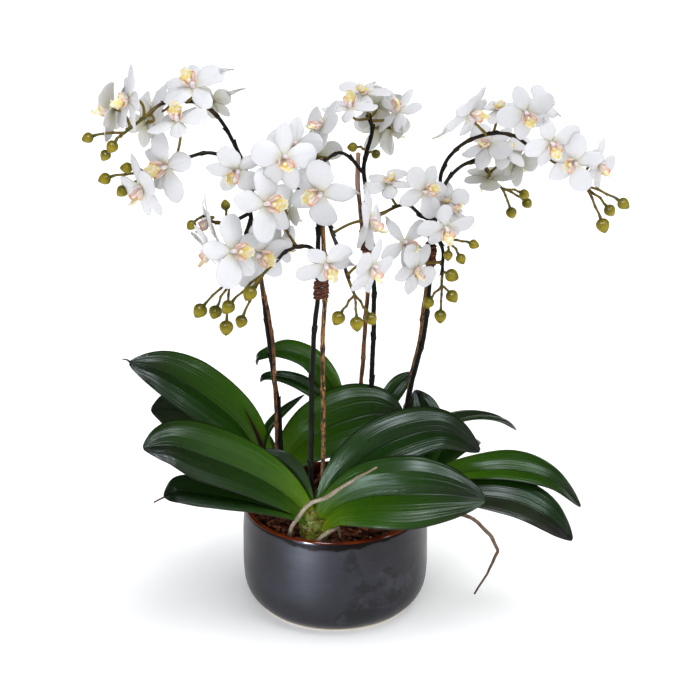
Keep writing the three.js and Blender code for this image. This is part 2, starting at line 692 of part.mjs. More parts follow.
// The outline of one petal from the gap before it, going round the bloom. The offsets along the bloom's
// axis cup the inner petals forwards and the outer ones back. A sepal ends in a point and a petal in a
// blunt edge.
function tepalOutline({ angle, layer, kind }, gapAngle, breadth, grow) {
  const half = kind.halfWidth * breadth + grow;
  const length = kind.length + grow;
  const a = THREE.MathUtils.degToRad(angle);
  const gap = THREE.MathUtils.degToRad(gapAngle);
  const reach = HUB_RADIUS + grow;
  const corner = (along, aside, z) => [
    Math.cos(a) * along - Math.sin(a) * aside,
    Math.sin(a) * along + Math.cos(a) * aside,
    z,
  ];
  const bend = layer * 1.6;
  const tip = bend - 2;
  const blunt = [corner(length * 0.97, -half * 0.45, tip), corner(length * 0.97, half * 0.45, tip)];
  const ends = kind === PETAL ? blunt : [corner(length, 0, tip)];
  return [
    [Math.cos(gap) * reach, Math.sin(gap) * reach, 0],
    corner(length * 0.56, -half, bend),
    ...ends,
    corner(length * 0.56, half, bend),
  ];
}

function bloom(flower, grow = 0) {
  const { size = 1, breadth = 1 } = flower;
  const { centre, right, up, out } = bloomFrame(flower);
  const place = (x, y, z) =>
    centre
      .clone()
      .addScaledVector(right, x * size)
      .addScaledVector(up, y * size)
      .addScaledVector(out, z * size);
  const half = TEPAL_THICKNESS / 2 + grow;
  const petals = TEPALS.map((tepal, k) => tepalOutline(tepal, GAPS[k], breadth, grow));
  const outline = petals.flat();
  const count = outline.length;
  const lip = GAPS.map((gap) => {
    const angle = THREE.MathUtils.degToRad(gap);
    const x = Math.cos(angle) * (LIP.across + grow);
    const y = Math.sin(angle) * (LIP.tall + grow) - LIP.down;
    return place(x, y, LIP.out);
  });
  const positions = [
    ...outline.map(([x, y, z]) => place(x, y, z + half)),
    ...outline.map(([x, y, z]) => place(x, y, z - half)),
    ...lip,
    place(0, -LIP_TIP.down - grow, LIP_TIP.out + grow),
    place(0, 0, -HUB_DEPTH - grow),
  ];
  const tip = positions.length - 2;
  const hub = positions.length - 1;
  const triangles = [];
  let gap = 0;
  petals.forEach((petal, k) => {
    const nextGap = (gap + petal.length) % count;
    const low = gap + 1;
    const high = gap + petal.length - 1;
    const faces = [
      [gap, low, high],
      [gap, high, nextGap],
    ];
    for (let i = low + 1; i < high; i++) faces.push([low, i, i + 1]);
    for (const [a, b, c] of faces) triangles.push(a, b, c, count + a, count + c, count + b);
    const here = 2 * count + k;
    const there = 2 * count + ((k + 1) % petals.length);
    triangles.push(gap, nextGap, there, gap, there, here);
    triangles.push(here, there, tip);
    triangles.push(hub, count + nextGap, count + gap);
    gap += petal.length;
  });
  for (let i = 0; i < count; i++) {
    const next = (i + 1) % count;
    triangles.push(count + i, count + next, next, count + i, next, i);
  }
  return solidFrom(positions, triangles);
}

function crosses(one, other) {
  return one.intersect(other).volume() > MIN_CROSSING;
}

// Blooms whose petals cross are one body. Each group keeps the name of its first bloom.
function bloomGroups(names) {
  const groups = [];
  for (const name of names) {
    (BLOOMS[name] ?? []).forEach((flower, i) => {
      const solid = bloom(flower);
      const touching = groups.filter((group) => group.parts.some((part) => crosses(part, solid)));
      const merged = { name: `bloom_${name}_${i + 1}`, parts: [solid], flowers: [flower] };
      for (const group of touching) {
        merged.name = group.name;
        merged.parts.push(...group.parts);
        merged.flowers.push(...group.flowers);
        groups.splice(groups.indexOf(group), 1);
      }
      groups.push(merged);
    });
  }
  return groups;
}

// The whole plant

const plant = new THREE.Group();
plant.name = "potted_moth_orchid";

function addNode(name, solid, finish) {
  const { vertProperties, triVerts } = solid.getMesh();
  const geometry = new THREE.BufferGeometry();
  geometry.setAttribute("position", new THREE.BufferAttribute(new Float32Array(vertProperties), 3));
  geometry.setIndex(new THREE.BufferAttribute(new Uint32Array(triVerts), 1));
  const material = new THREE.MeshStandardMaterial({ ...FINISHES[finish], flatShading: true });
  const mesh = new THREE.Mesh(geometry, material);
  mesh.name = name;
  plant.add(mesh);
}

// The space that stems, stakes and aerial roots need clear of bark, leaves and petals.
const names = Object.keys(SPRAYS);
const room = joined([
  ...names.map((name) => flowerStem(name, CLEARANCE)),
  ...names.map((name) => stake(name, CLEARANCE)),
  ...Object.values(ROOTS).map((path) => root(path, CLEARANCE)),
]);

addNode("pot", pot(), "glaze");

let filling = bark().subtract(room);
let taken = room;
for (const name of names) {
  const whole = mainBody(rosette(ROSETTES[name]).subtract(taken));
  addNode(`rosette_${name}`, whole, "leaf");
  taken = taken.add(rosette(ROSETTES[name], CLEARANCE));
  filling = filling.subtract(crown(ROSETTES[name].crown, CLEARANCE));
}
addNode("bark", mainBody(filling), "bark");

for (const [name, path] of Object.entries(ROOTS)) addNode(name, root(path), "root");

for (const name of names) {
  addNode(`stem_${name}`, flowerStem(name), "stem");
  addNode(`stake_${name}`, stake(name), "twig");
  addNode(`tie_${name}`, tie(name), "raffia");
}

let bloomRoom = room;
for (const name of names) {
  const groups = bloomGroups([name, ...Object.keys(SPRAYS[name].branches)]);
  for (const group of groups) {
    addNode(group.name, mainBody(joined(group.parts).subtract(bloomRoom)), "petal");
  }
  const around = groups.flatMap((group) => group.flowers.map((flower) => bloom(flower, CLEARANCE)));
  bloomRoom = bloomRoom.add(joined(around));
}

export default plant;
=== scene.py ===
# A potted moth orchid: four plants in one low glazed pot, their arching sprays of white blooms tied to twig
# stakes. Lengths are millimetres until a piece is made. Blooms, leaves, stems and ties lie where the packed
# model has them.
import math
import random

import bpy
import numpy as np
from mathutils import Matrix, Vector


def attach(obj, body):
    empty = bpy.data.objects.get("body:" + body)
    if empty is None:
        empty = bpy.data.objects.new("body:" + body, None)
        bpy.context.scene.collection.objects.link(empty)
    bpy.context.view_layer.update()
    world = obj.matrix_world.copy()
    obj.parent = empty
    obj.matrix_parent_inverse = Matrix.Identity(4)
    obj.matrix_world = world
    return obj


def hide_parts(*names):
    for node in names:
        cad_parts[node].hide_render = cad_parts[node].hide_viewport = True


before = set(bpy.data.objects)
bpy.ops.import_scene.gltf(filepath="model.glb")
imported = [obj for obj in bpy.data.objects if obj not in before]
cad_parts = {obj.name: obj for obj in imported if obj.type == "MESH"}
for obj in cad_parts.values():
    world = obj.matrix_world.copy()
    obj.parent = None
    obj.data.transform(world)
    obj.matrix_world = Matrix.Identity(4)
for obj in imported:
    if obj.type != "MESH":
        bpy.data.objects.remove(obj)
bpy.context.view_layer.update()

MM = 0.001
TURN = 2 * math.pi
UP = np.array([0.0, 0.0, 1.0])

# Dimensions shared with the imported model
POT_HEIGHT = 104
FOOT_RADIUS = 78
BARK_LEVEL = 93
CLEARANCE = 0.35
STEM_RADIUS = 2.8
BRANCH_RADIUS = 1.9
STAKE_RADIUS = 2.3
STAKE_FOOT = 58
TIE_WIDTH = 20
ROOT_RADIUS = 2.5
HUB_DEPTH = 3
BUD_LENGTH = 13
BUD_RADIUS = 5.6
LEAF_TAPER = 0.64

# The scene's own dimensions
BLUNT_TAPER = 0.88
BLUNT_LEAVES = {("back", 0), ("back", 1)}
CURLED_TIP = [(-200, 22, 243), (-204, 22, 247), (-209, 22, 248)]
DRY_BRACT = [(-72, 20, 150), (-80, 18, 174), (-90, 17, 197)]
CROWN_CORE = ((74, 9), (84, 11), (90, 12), (95, 11.6), (100, 10.6), (105, 10.4), (110, 9.6), (116, 7.6),
              (122, 3))
CROWN_TIERS = ((85, 19, 12.6), (101, 14, 11.6), (112, 13, 9.2))
CROWN_LEAN = 0.13
STEM_JOINTS = (58, 46, 9)
BRANCH_JOINTS = (18, 24, 6.5)
BRACT_FROM = 120
PALE_TOP = 408
RUN_TURN = math.radians(-96)
RUN_HALF = 0.44
RUN_EDGE = 99.6
BED_RADIUS = 84.2
BED_FLOOR = 80
CHIPS = 1500
CHIP_SIZES = (2.2, 3, 3.5, 4.5, 6, 8)

# How many points along and across, or segments, a surface has
LEAF_GRID = (50, 37)
SCALE_GRID = (9, 25)
DRY_BRACT_GRID = (14, 7)
BRACT_GRID = (7, 9)
TEPAL_GRID = (20, 15)
TAIL_GRID = (14, 5)
CUP_GRID = (9, 35)
LOBE_GRID = (16, 11)
POT_SEGMENTS = 240
BED_SEGMENTS = 96

# The two kinds of petal. "blade" is where it is widest, how fast it opens, and how full and round its end is.
SEPAL = {"length": 30, "half": 9, "blade": (0.5, 0.75, 1.9, 0.6), "curl": (-4, 0.8), "cup": (-0.38, 0.02)}
PETAL = {"length": 31, "half": 12.5, "blade": (0.56, 0.8, 2.3, 0.52), "curl": (-2.6, 2.2), "cup": (-0.34, 0.08)}

# The petals of every bloom: angle, layer and kind
TEPALS = [(240, -1, SEPAL), (300, -1, SEPAL), (9, 1, PETAL), (90, -1, SEPAL), (171, 1, PETAL)]

CROWNS = {"front": (-20, -50), "left": (-66, 24), "back": (10, 66), "right": (62, 0)}

# Roots: share of the full thickness, from 0 for pale to 1 for brown, and the path
ROOTS = {
    "root_over_leaf": (0.82, 0, [(-46, -58, 80), (-42, -67, 108), (-32, -80, 131), (-22, -89, 147),
                                 (-8, -94, 155), (10, -97, 170), (40, -96, 188)]),
    "root_loop": (0.8, 0, [(-22, -72, 80), (-17, -79, 99), (-10, -80, 108), (-1, -72, 109), (4, -62, 104),
                           (5, -58, 80)]),
    "root_hanging": (0.8, 0.75, [(64, -34, 80), (69, -38, 108), (84, -50, 121), (106, -66, 128),
                                 (134, -80, 125), (150, -86, 110), (157, -88, 94), (148, -86, 70),
                                 (136, -84, 45)]),
    "root_left": (0.66, 0.9, [(-68, -8, 80), (-84, -14, 112), (-118, -30, 131), (-142, -36, 137),
                              (-162, -40, 130), (-177, -40, 122)]),
}

# Stakes: height of the tie, from 0 for red-brown to 1 for golden, share of the full thickness, and the path
STAKES = {
    "left": (383, 0.15, 0.8, [(-58, 4, 131), (-58, 4, 200), (-59, 3, 240), (-60, 3, 277), (-65, 2, 310),
                              (-70, 0, 343), (-74, -1, 368), (-75, -3, 396)]),
    "front": (342, 0.75, 1, [(-12, -28, 135), (-11, -28, 236), (-11, -27, 299), (-9, -26, 340),
                             (-10, -22, 388), (-11, -20, 412)]),
    "back": (358, 0.2, 1, [(26, 58, 143), (26, 58, 200), (30, 58, 269), (32, 59, 305), (28, 61, 357),
                           (24, 63, 392), (22, 65, 417), (23, 70, 444)]),
    "right": (355, 0.45, 1, [(66, 27, 150), (73, 27, 212), (83, 29, 265), (87, 31, 300), (91, 33, 354),
                             (92, 36, 382), (93, 37, 397)]),
}

# Leaves: the rib from crown to tip, half the width, where the upper side looks, and how the upper and the lower
# half are toned, from 0 for grey-brown by 0.3 for dark green to 1 for bright green. The tones are partly the
# leaf's own colour and partly painted light and shade: a half is toned brighter where it faces the light and
# darker where it lies in shade.
LEAVES = {
    "front": [
        ([(-22, -52, 108), (-44, -58, 136), (-74, -68, 163), (-118, -84, 192), (-154, -97, 211),
          (-178, -106, 213)], 31, (-0.15, -0.6, 0.8), (0.8, 0.2)),
        ([(-22, -54, 102), (-44, -66, 122), (-80, -78, 141), (-120, -87, 154), (-150, -92, 160),
          (-162, -92, 156)], 21, (0.05, -0.35, 0.95), (0.25, 0.25)),
        ([(-20, -46, 112), (-32, -44, 138), (-46, -46, 156), (-64, -50, 169), (-84, -54, 178)], 18,
          (-0.3, -0.75, 0.5), (0.2, 0.12)),
        ([(-16, -48, 110), (-2, -52, 142), (20, -53, 168), (58, -50, 193), (104, -46, 202), (140, -44, 180)],
          27, (0.2, -0.6, 0.75), (0.25, 0.3)),
        ([(-16, -54, 104), (2, -66, 130), (28, -79, 147), (64, -92, 157), (104, -100, 161), (142, -104, 158)],
          36, (0.1, -0.75, 0.65), (0.5, 0.9)),
    ],
    "left": [
        ([(-66, 24, 108), (-76, 25, 140), (-98, 24, 177), (-134, 22, 211), (-169, 22, 234), (-202, 22, 244)],
          28, (0.35, -0.75, 0.6), (1.0, 0.35)),
        ([(-68, 26, 104), (-82, 36, 130), (-104, 50, 150), (-143, 62, 166), (-170, 70, 172), (-188, 74, 170)],
          25, (0, -0.6, 0.8), (0.2, 0.12)),
        ([(-66, 26, 110), (-69, 32, 142), (-66, 36, 162), (-52, 44, 179), (-31, 54, 195)], 14,
          (-0.8, -0.1, 0.6), (0.35, 0.3)),
        ([(-62, 26, 106), (-44, 34, 136), (-20, 34, 160), (12, 34, 175), (43, 37, 181), (70, 38, 175)], 35,
          (-0.1, -0.75, 0.62), (0.8, 0.75)),
        ([(-66, 28, 102), (-74, 50, 118), (-92, 78, 128), (-114, 104, 128), (-132, 122, 116)], 27,
          (0, -0.1, 1), (0.4, 0.4)),
    ],
    "back": [
        ([(12, 66, 108), (8, 70, 150), (-1, 74, 190), (-24, 84, 217), (-53, 92, 226), (-70, 95, 222),
          (-78, 97, 217), (-80, 98, 209)], 16, (-0.5, -0.1, 0.85), (0.9, 0.5)),
        ([(10, 62, 104), (2, 64, 150), (-11, 67, 181), (-33, 73, 197), (-56, 79, 203), (-72, 82, 202),
          (-77, 83, 197)], 10, (-0.5, -0.2, 0.85), (0.35, 0.3)),
        ([(14, 67, 108), (34, 70, 146), (52, 73, 180), (66, 81, 196), (79, 88, 205)], 10, (0.5, -0.2, 0.7),
          (0.7, 0.4)),
        ([(11, 68, 102), (10, 90, 124), (4, 118, 136), (-8, 146, 132), (-18, 166, 116)], 30, (0, 0.1, 1),
          (0.4, 0.4)),
        ([(14, 68, 102), (38, 88, 122), (62, 112, 132), (78, 136, 126), (88, 152, 112)], 27, (0, 0.1, 1),
          (0.4, 0.4)),
    ],
    "right": [
        ([(64, 4, 110), (88, 15, 138), (92, 26, 165), (87, 36, 188), (80, 46, 204)], 18, (-0.1, -0.95, 0.3),
          (0.3, 0.35)),
        ([(66, 2, 106), (88, 20, 142), (106, 32, 166), (138, 46, 172), (166, 54, 166), (183, 58, 154)], 20,
          (0.1, 0.25, 1), (0.25, 0.1)),
        ([(66, 0, 108), (102, 2, 126), (142, 0, 136), (178, -4, 139), (215, -8, 130), (244, -10, 102)], 24,
          (0.1, -0.2, 1), (0.75, 1)),
        ([(66, -4, 102), (102, -14, 114), (143, -24, 120), (180, -34, 118), (210, -43, 106), (233, -46, 84)],
          26, (0.1, -0.36, 0.95), (0.3, 0)),
        ([(64, 4, 102), (92, 32, 120), (112, 62, 130), (128, 92, 126), (142, 116, 112)], 27, (0.1, 0, 1),
          (0.4, 0.4)),
    ],
}

# Stems: the paths of each plant's stem and its branches
SPRAYS = {
    "left": {
        "left": [(-52, 8, 60), (-54, 9, 110), (-54, 10, 152), (-56, 10, 203), (-60, 9, 236), (-65, 8, 285),
                 (-70, 6, 334), (-75, 4, 374), (-79, 3, 404), (-80, 1, 434), (-85, 0, 458)],
        "left_arch": [(-84, 0, 456), (-98, -12, 491), (-110, -24, 513), (-128, -36, 526), (-153, -52, 529),
                      (-169, -62, 519), (-187, -70, 507)],
        "left_reach": [(-84, 0, 456), (-105, -2, 465), (-120, -6, 468), (-150, -18, 461), (-169, -26, 454)],
        "left_side": [(-79, 3, 407), (-96, -10, 402), (-112, -20, 405), (-122, -26, 413)],
        "left_low": [(-79, 3, 401), (-84, -16, 388), (-90, -32, 370), (-97, -44, 356)],
    },
    "front": {
        "front": [(-22, -32, 60), (-23, -35, 124), (-23, -37, 175), (-22, -35, 239), (-19, -33, 302),
                  (-16, -31, 329), (-15, -28, 378), (-16, -25, 416), (-23, -27, 429), (-40, -34, 449),
                  (-51, -38, 455), (-64, -42, 455), (-75, -46, 448)],
        "front_right": [(-16, -26, 414), (-8, -32, 415), (0, -46, 399), (6, -54, 387), (13, -66, 366),
                        (19, -74, 353)],
        "front_left": [(-15, -28, 377), (-25, -36, 387), (-42, -48, 388), (-54, -60, 381), (-65, -70, 372)],
    },
    "back": {
        "back": [(36, 50, 60), (36, 50, 147), (36, 50, 202), (38, 51, 262), (38, 53, 315), (34, 56, 360),
                 (31, 60, 402), (28, 64, 427), (30, 67, 443), (36, 73, 467), (33, 76, 477)],
        "back_left": [(28, 64, 426), (23, 60, 433), (15, 54, 444), (6, 46, 452), (-2, 38, 452),
                      (-10, 32, 448), (-20, 24, 454), (-31, 16, 462)],
    },
    "right": {
        "right": [(62, 20, 60), (65, 20, 120), (69, 20, 172), (74, 20, 216), (86, 22, 268), (92, 25, 326),
                  (94, 27, 357), (96, 29, 385), (98, 30, 405), (100, 31, 419)],
        "right_arch": [(100, 31, 417), (102, 31, 438), (109, 29, 454), (126, 22, 471), (148, 10, 482),
                       (166, -2, 484), (181, -12, 476), (197, -22, 468), (210, -30, 462), (230, -42, 448)],
        "right_reach": [(100, 31, 417), (114, 44, 433), (129, 56, 439), (144, 68, 431), (151, 74, 418),
                        (164, 84, 403)],
        "right_twig": [(128, 56, 438), (147, 64, 444), (161, 72, 447)],
        "right_inner": [(96, 29, 388), (84, 22, 396), (77, 17, 404), (69, 10, 412), (59, 2, 413),
                        (42, -14, 410)],
        "right_spur": [(94, 27, 370), (86, 18, 380), (79, 12, 380)],
        "right_bud_spur": [(96, 28, 378), (103, 18, 379), (109, 10, 376)],
        "right_low": [(96, 28, 376), (103, 16, 366), (103, 12, 346), (103, 12, 329)],
    },
}

# Blooms by the branch that bears them: place, turn to the right, lift, roll, size and breadth of the petals
BLOOMS = {
    "left_arch": [((-126, -50, 544), -20, 60, -130, 0.95), ((-181, -74, 540), -70, 10, 70),
                  ((-196, -64, 528), -110, 10, 50, 0.95), ((-112, 2, 516), 160, 20, -20, 0.66),
                  ((-167, -20, 516), -60, 35, 0, 0.8), ((-170, -36, 507), -130, -10, 0, 0.75)],
    "left_reach": [((-138, -76, 520), -50, 70, -130, 0.9), ((-152, -52, 470), -40, 0, -70, 1.05),
                   ((-176, -44, 447), -50, -10, 20)],
    "left_side": [((-116, -34, 413), -75, -15, 0, 0.85)],
    "left_low": [((-117, -42, 386), -70, -30, 0, 0.9), ((-91, -88, 401), 40, 20, 70, 1.05)],
    "front": [((-88, -56, 468), 0, -20, -60, 0.9), ((-45, -62, 481), 20, 10, -10),
              ((-61, -76, 442), 40, 20, 70, 1.08), ((-13, -52, 445), -20, -10, -90, 1.08)],
    "front_left": [((-69, -60, 388), 20, 0, 70, 1.05), ((-50, -30, 388), 60, 10, 0, 0.8),
                   ((-43, -22, 416), 110, -10, 0, 0.8)],
    "front_right": [((-7, -88, 389), 20, -30, 40, 0.92), ((35, -78, 382), 50, -10, -20, 0.9),
                    ((33, -38, 413), 70, 5, -20)],
    "back": [((29, 68, 504), -20, 75, 0, 0.85, 0.8), ((15, 36, 499), -50, 80, -140, 0.85, 0.85),
             ((40, 94, 484), 180, 20, 0, 0.9), ((46, 110, 457), 165, -20, 0, 0.9, 0.85),
             ((60, 72, 485), -50, 40, 150, 0.85, 0.75), ((55, 84, 465), 110, -10, 0, 0.85, 0.8)],
    "back_left": [((-36, 6, 472), -10, 20, 0, 0.85), ((-11, 20, 488), -60, 30, 0, 0.85),
                  ((-18, 54, 450), 170, 0, 0, 0.8)],
    "right_arch": [((125, -2, 504), 52, -25, 125, 0.95), ((153, 28, 500), 10, 80, 0, 0.75),
                   ((175, -26, 513), 10, -10, 20, 0.88), ((190, 10, 508), 50, 45, 30, 0.8),
                   ((195, -66, 497), 20, -20, 20, 0.85), ((217, -62, 477), -10, 0, -80, 0.88),
                   ((242, -44, 469), 55, 0, -25, 0.8)],
    "right_reach": [((176, 76, 435), 130, -20, 0, 0.9), ((149, 56, 423), 170, -80, 90, 0.8)],
    "right_twig": [((147, 52, 458), -30, 55, -30, 0.9), ((163, 60, 452), 20, 60, 0, 0.85)],
    "right_inner": [((50, 10, 434), -20, 75, 60, 0.8), ((84, -14, 434), 30, 10, 110, 0.85)],
    "right": [((106, 24, 412), 0, 50, 0, 0.7), ((109, 8, 406), 70, 65, -10, 0.8),
              ((104, -22, 401), 20, -30, 10, 0.88)],
    "right_low": [((78, -20, 359), 40, 0, -50, 0.85)],
    "right_spur": [((66, -14, 382), 30, 15, 30, 0.9, 0.65)],
}

# Branches whose blooms are greyed as painted shade, darker than the rest where they lie away from the light
PAINTED_SHADE = {"right": 0.35, "right_low": 0.35, "right_spur": 0.35, "right_inner": 0.35, "right_reach": 0.25,
          "right_arch": 0.12, "right_twig": 0.12, "back": 0.05, "front_right": 0.12}

# Blooms that share a node with another, whose petals they touch
TOUCHING = {
    "left_arch_3": "left_arch_2", "left_arch_6": "left_arch_5", "left_reach_1": "left_arch_1",
    "left_reach_3": "left_reach_2", "left_low_1": "left_side_1", "front_3": "front_2",
    "back_2": "back_1", "back_3": "back_1", "back_5": "back_1", "back_6": "back_1",
    "right_2": "right_1", "right_arch_6": "right_arch_5", "right_low_1": "right_spur_1",
}

# Petals that end in a thin point, by bloom and by the petal's angle, and how long the point is
TAILS = {
    ("left_arch_1", 171): 9, ("left_arch_4", 171): 22, ("right_arch_1", 90): 12, ("front_4", 90): 3,
    ("front_right_1", 300): 5, ("front_right_3", 90): 4, ("right_spur_1", 90): 3, ("back_1", 90): 4,
    ("back_5", 171): 4, ("right_arch_4", 300): 5, ("right_arch_5", 90): 3,
}

# Buds by the branch that bears them: place and size
BUDS = {
    "left_arch": [(-197, -78, 497, 0.95), (-218, -78, 505, 0.85), (-204, -72, 487, 0.85)],
    "left_reach": [(-190, -32, 462, 0.9), (-210, -36, 453, 0.95), (-196, -24, 437, 0.95)],
    "left_side": [(-102, -6, 417, 0.8), (-132, -36, 408, 0.8)],
    "left_low": [(-125, -54, 330, 1.15), (-112, -38, 322, 1.1), (-101, -54, 313, 1.15)],
    "front_left": [(-77, -78, 357, 1.15), (-97, -80, 344, 1.1), (-86, -68, 325, 1)],
    "front_right": [(4, -82, 334, 1.1), (21, -88, 331, 1.1), (34, -74, 330, 1)],
    "back": [(17, 60, 453, 0.8), (40, 82, 439, 0.8)],
    "right_bud_spur": [(132, 2, 375, 0.8), (108, 2, 364, 0.8), (120, -2, 362, 0.85)],
    "right_low": [(112, 6, 342, 1.1), (113, 10, 319, 1.05), (90, 4, 315, 0.95), (102, 6, 300, 1.05)],
    "right_arch": [(264, -54, 435, 0.95), (254, -38, 423, 0.95), (246, -56, 415, 1.1)],
    "right_reach": [(186, 88, 396, 0.85), (190, 98, 383, 0.9), (174, 90, 376, 0.95)],
}


# Vectors and paths

def vec(*xyz):
    return np.array(xyz, float)


def unit(v):
    v = np.asarray(v, float)
    return v / np.maximum(np.linalg.norm(v, axis=-1, keepdims=True), 1e-9)


def across(direction):
    """A unit vector at right angles to this one."""
    reference = vec(1, 0, 0) if abs(direction[0]) < 0.6 else vec(0, 1, 0)
    return unit(reference - direction * reference.dot(direction))


def around(direction, angle):
    """The vector across a direction, turned about it."""
    side = across(direction)
    return side * math.cos(angle) + np.cross(direction, side) * math.sin(angle)


def spokes(angles, reach, first, second):
    """Vectors of this reach at these angles in the plane of two directions."""
    return np.outer(np.cos(angles) * reach, first) + np.outer(np.sin(angles) * reach, second)


def curve(points, shares):
    """Points on the centripetal curve through "points", at these shares of its parameter."""
    p = np.asarray(points, float)
    last = len(p) - 1
    ends = np.vstack([2 * p[0] - p[1], p, 2 * p[-1] - p[-2]])
    made = []
    for share in shares:
        at = min(max(share, 0), 1) * last
        i = min(int(at), last - 1)
        t = at - i
        a, b, c, d = ends[i:i + 4]
        d0, d1, d2 = (max(np.linalg.norm(y - x) ** 0.5, 1e-3) for x, y in ((a, b), (b, c), (c, d)))
        m1 = ((b - a) / d0 - (c - a) / (d0 + d1) + (c - b) / d1) * d1
        m2 = ((c - b) / d1 - (d - b) / (d1 + d2) + (d - c) / d2) * d1
        made.append(b + m1 * t + (3 * (c - b) - 2 * m1 - m2) * t ** 2 + (2 * (b - c) + m1 + m2) * t ** 3)
    return np.array(made)


def bezier(points, count):
    """Points on the curve that these control points pull, and their shares of it."""
    t = np.linspace(0, 1, count)
    n = len(points) - 1
    pulls = (np.outer(math.comb(n, k) * (1 - t) ** (n - k) * t ** k, point) for k, point in enumerate(points))
    return sum(pulls), t


def evenly(path, spacing):
    """The path's points again, evenly spaced, and how far along it they are."""
    path = np.asarray(path, float)
    run = np.concatenate([[0], np.cumsum(np.linalg.norm(np.diff(path, axis=0), axis=1))])
    at = np.linspace(0, run[-1], max(int(round(run[-1] / spacing)), 2) + 1)
    return np.column_stack([np.interp(at, run, path[:, k]) for k in range(3)]), at


def smooth_path(points, spacing):
    return evenly(curve(points, np.linspace(0, 1, 12 * len(points))), spacing)


def nearest_on(path, target):
    best, shortest = path[0], math.inf
    for a, b in zip(path[:-1], path[1:]):
        share = np.clip((target - a).dot(b - a) / (b - a).dot(b - a), 0, 1)
        spot = a + (b - a) * share
        distance = np.linalg.norm(spot - target)
        if distance < shortest:
            best, shortest = spot, distance
    return best


def kept_beside(path, other, distance):
    """The path with each point moved level, where it comes closer than this to the other path."""
    made = []
    for spot in path:
        away = (spot - nearest_on(other, spot)) * (1, 1, 0)
        gap = np.linalg.norm(away)
        made.append(spot + unit(away) * (distance - gap) if gap < distance else spot)
    return np.array(made)


def at_height(path, z):
    """Where a rising path reaches a height."""
    return vec(*(np.interp(z, path[:, 2], path[:, k]) for k in range(2)), z)


def tangents(path):
    return unit(np.gradient(path, axis=0))


def index_of(values, target):
    return int(np.argmin(np.abs(values - target)))


# Profiles and chance

def smoothstep(x, low, high):
    t = np.clip((x - low) / (high - low), 0, 1)
    return t * t * (3 - 2 * t)


def window(x, low, full, fading, gone):
    """A step up from low to full, and down again from fading to gone."""
    return smoothstep(x, low, full) * (1 - smoothstep(x, fading, gone))


def bells(x, width, *centres):
    """A sum of bell curves."""
    return sum((np.exp(-((x - at) / width) ** 2) for at in centres), np.zeros_like(x))


def phase(rng):
    return rng.uniform(0, 6.3)


def ripple(rng, count, at):
    """A sum of a few random waves over "at", between about -1 and 1."""
    total = np.zeros_like(np.asarray(at, float))
    for k in range(count):
        total = total + np.sin(np.asarray(at) * rng.uniform(0.6, 1.6) * (k + 1) + phase(rng)) / (k + 1)
    return total / 1.5


def wander(rng, at):
    """A ripple in each of the three directions."""
    return np.column_stack([ripple(rng, 3, at) for _ in range(3)])


# Meshes

def spans(rows, cols):
    """Shares from 0 to 1 down a grid's rows, and from -1 to 1 across its columns."""
    return np.linspace(0, 1, rows)[:, None], np.linspace(-1, 1, cols)


def grid_faces(rows, cols, closed):
    """The point numbers of a grid and its faces. A closed grid's last column joins its first."""
    index = np.arange(rows * cols).reshape(rows, cols)
    after = np.roll(index, -1, 1)
    kept = slice(cols if closed else -1)
    corners = [index[:-1, kept], after[:-1, kept], after[1:, kept], index[1:, kept]]
    return index, np.stack(corners, -1).reshape(-1, 4)


def rod_faces(rings, sides):
    """The faces of a stack of rings with a fan at each end, whose tips are the last two points."""
    index, faces = grid_faces(rings, sides, True)
    tip = rings * sides
    start = [(tip, b, a) for a, b in zip(index[0], np.roll(index[0], -1))]
    end = [(a, b, tip + 1) for a, b in zip(index[-1], np.roll(index[-1], -1))]
    return [*faces, *start, *end]


class Shape:
    """A mesh in the making. Each point carries "place", three numbers that its material reads, and "tint"."""

    def __init__(self):
        self.points, self.faces, self.finishes, self.places, self.tints = [], [], [], [], []
        self.count = 0

    def add(self, points, faces, place, tint=0.5, finish=0):
        points = np.asarray(points, float).reshape(-1, 3)
        size = len(points)
        self.points.append(points)
        self.places.append(np.broadcast_to(np.asarray(place, float), (size, 3)))
        self.tints.append(np.broadcast_to(np.asarray(tint, float), (size,)))
        self.faces.extend(tuple(int(i) + self.count for i in face) for face in faces)
        self.finishes.extend([finish] * len(faces))
        self.count += size

    def make(self, name, slot, node, materials, flat=False):
        """Makes the piece that stands for a node."""
        mesh = bpy.data.meshes.new(name)
        mesh.from_pydata((np.vstack(self.points) * MM).tolist(), [], self.faces)
        mesh.polygons.foreach_set("material_index", self.finishes)
        mesh.polygons.foreach_set("use_smooth", [not flat] * len(self.faces))
        place = mesh.attributes.new("place", "FLOAT_VECTOR", "POINT")
        place.data.foreach_set("vector", np.vstack(self.places).astype(np.float32).ravel())
        tint = mesh.attributes.new("tint", "FLOAT", "POINT")
        tint.data.foreach_set("value", np.concatenate(self.tints).astype(np.float32))
        for each in materials:
            mesh.materials.append(each)
        mesh.validate()
        mesh.update()
        piece = linked(name, mesh)
        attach(piece, "root")
        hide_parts(node)


def linked(name, data):
    """A new object of the scene."""
    thing = bpy.data.objects.new(name, data)
    bpy.context.scene.collection.objects.link(thing)
    return thing


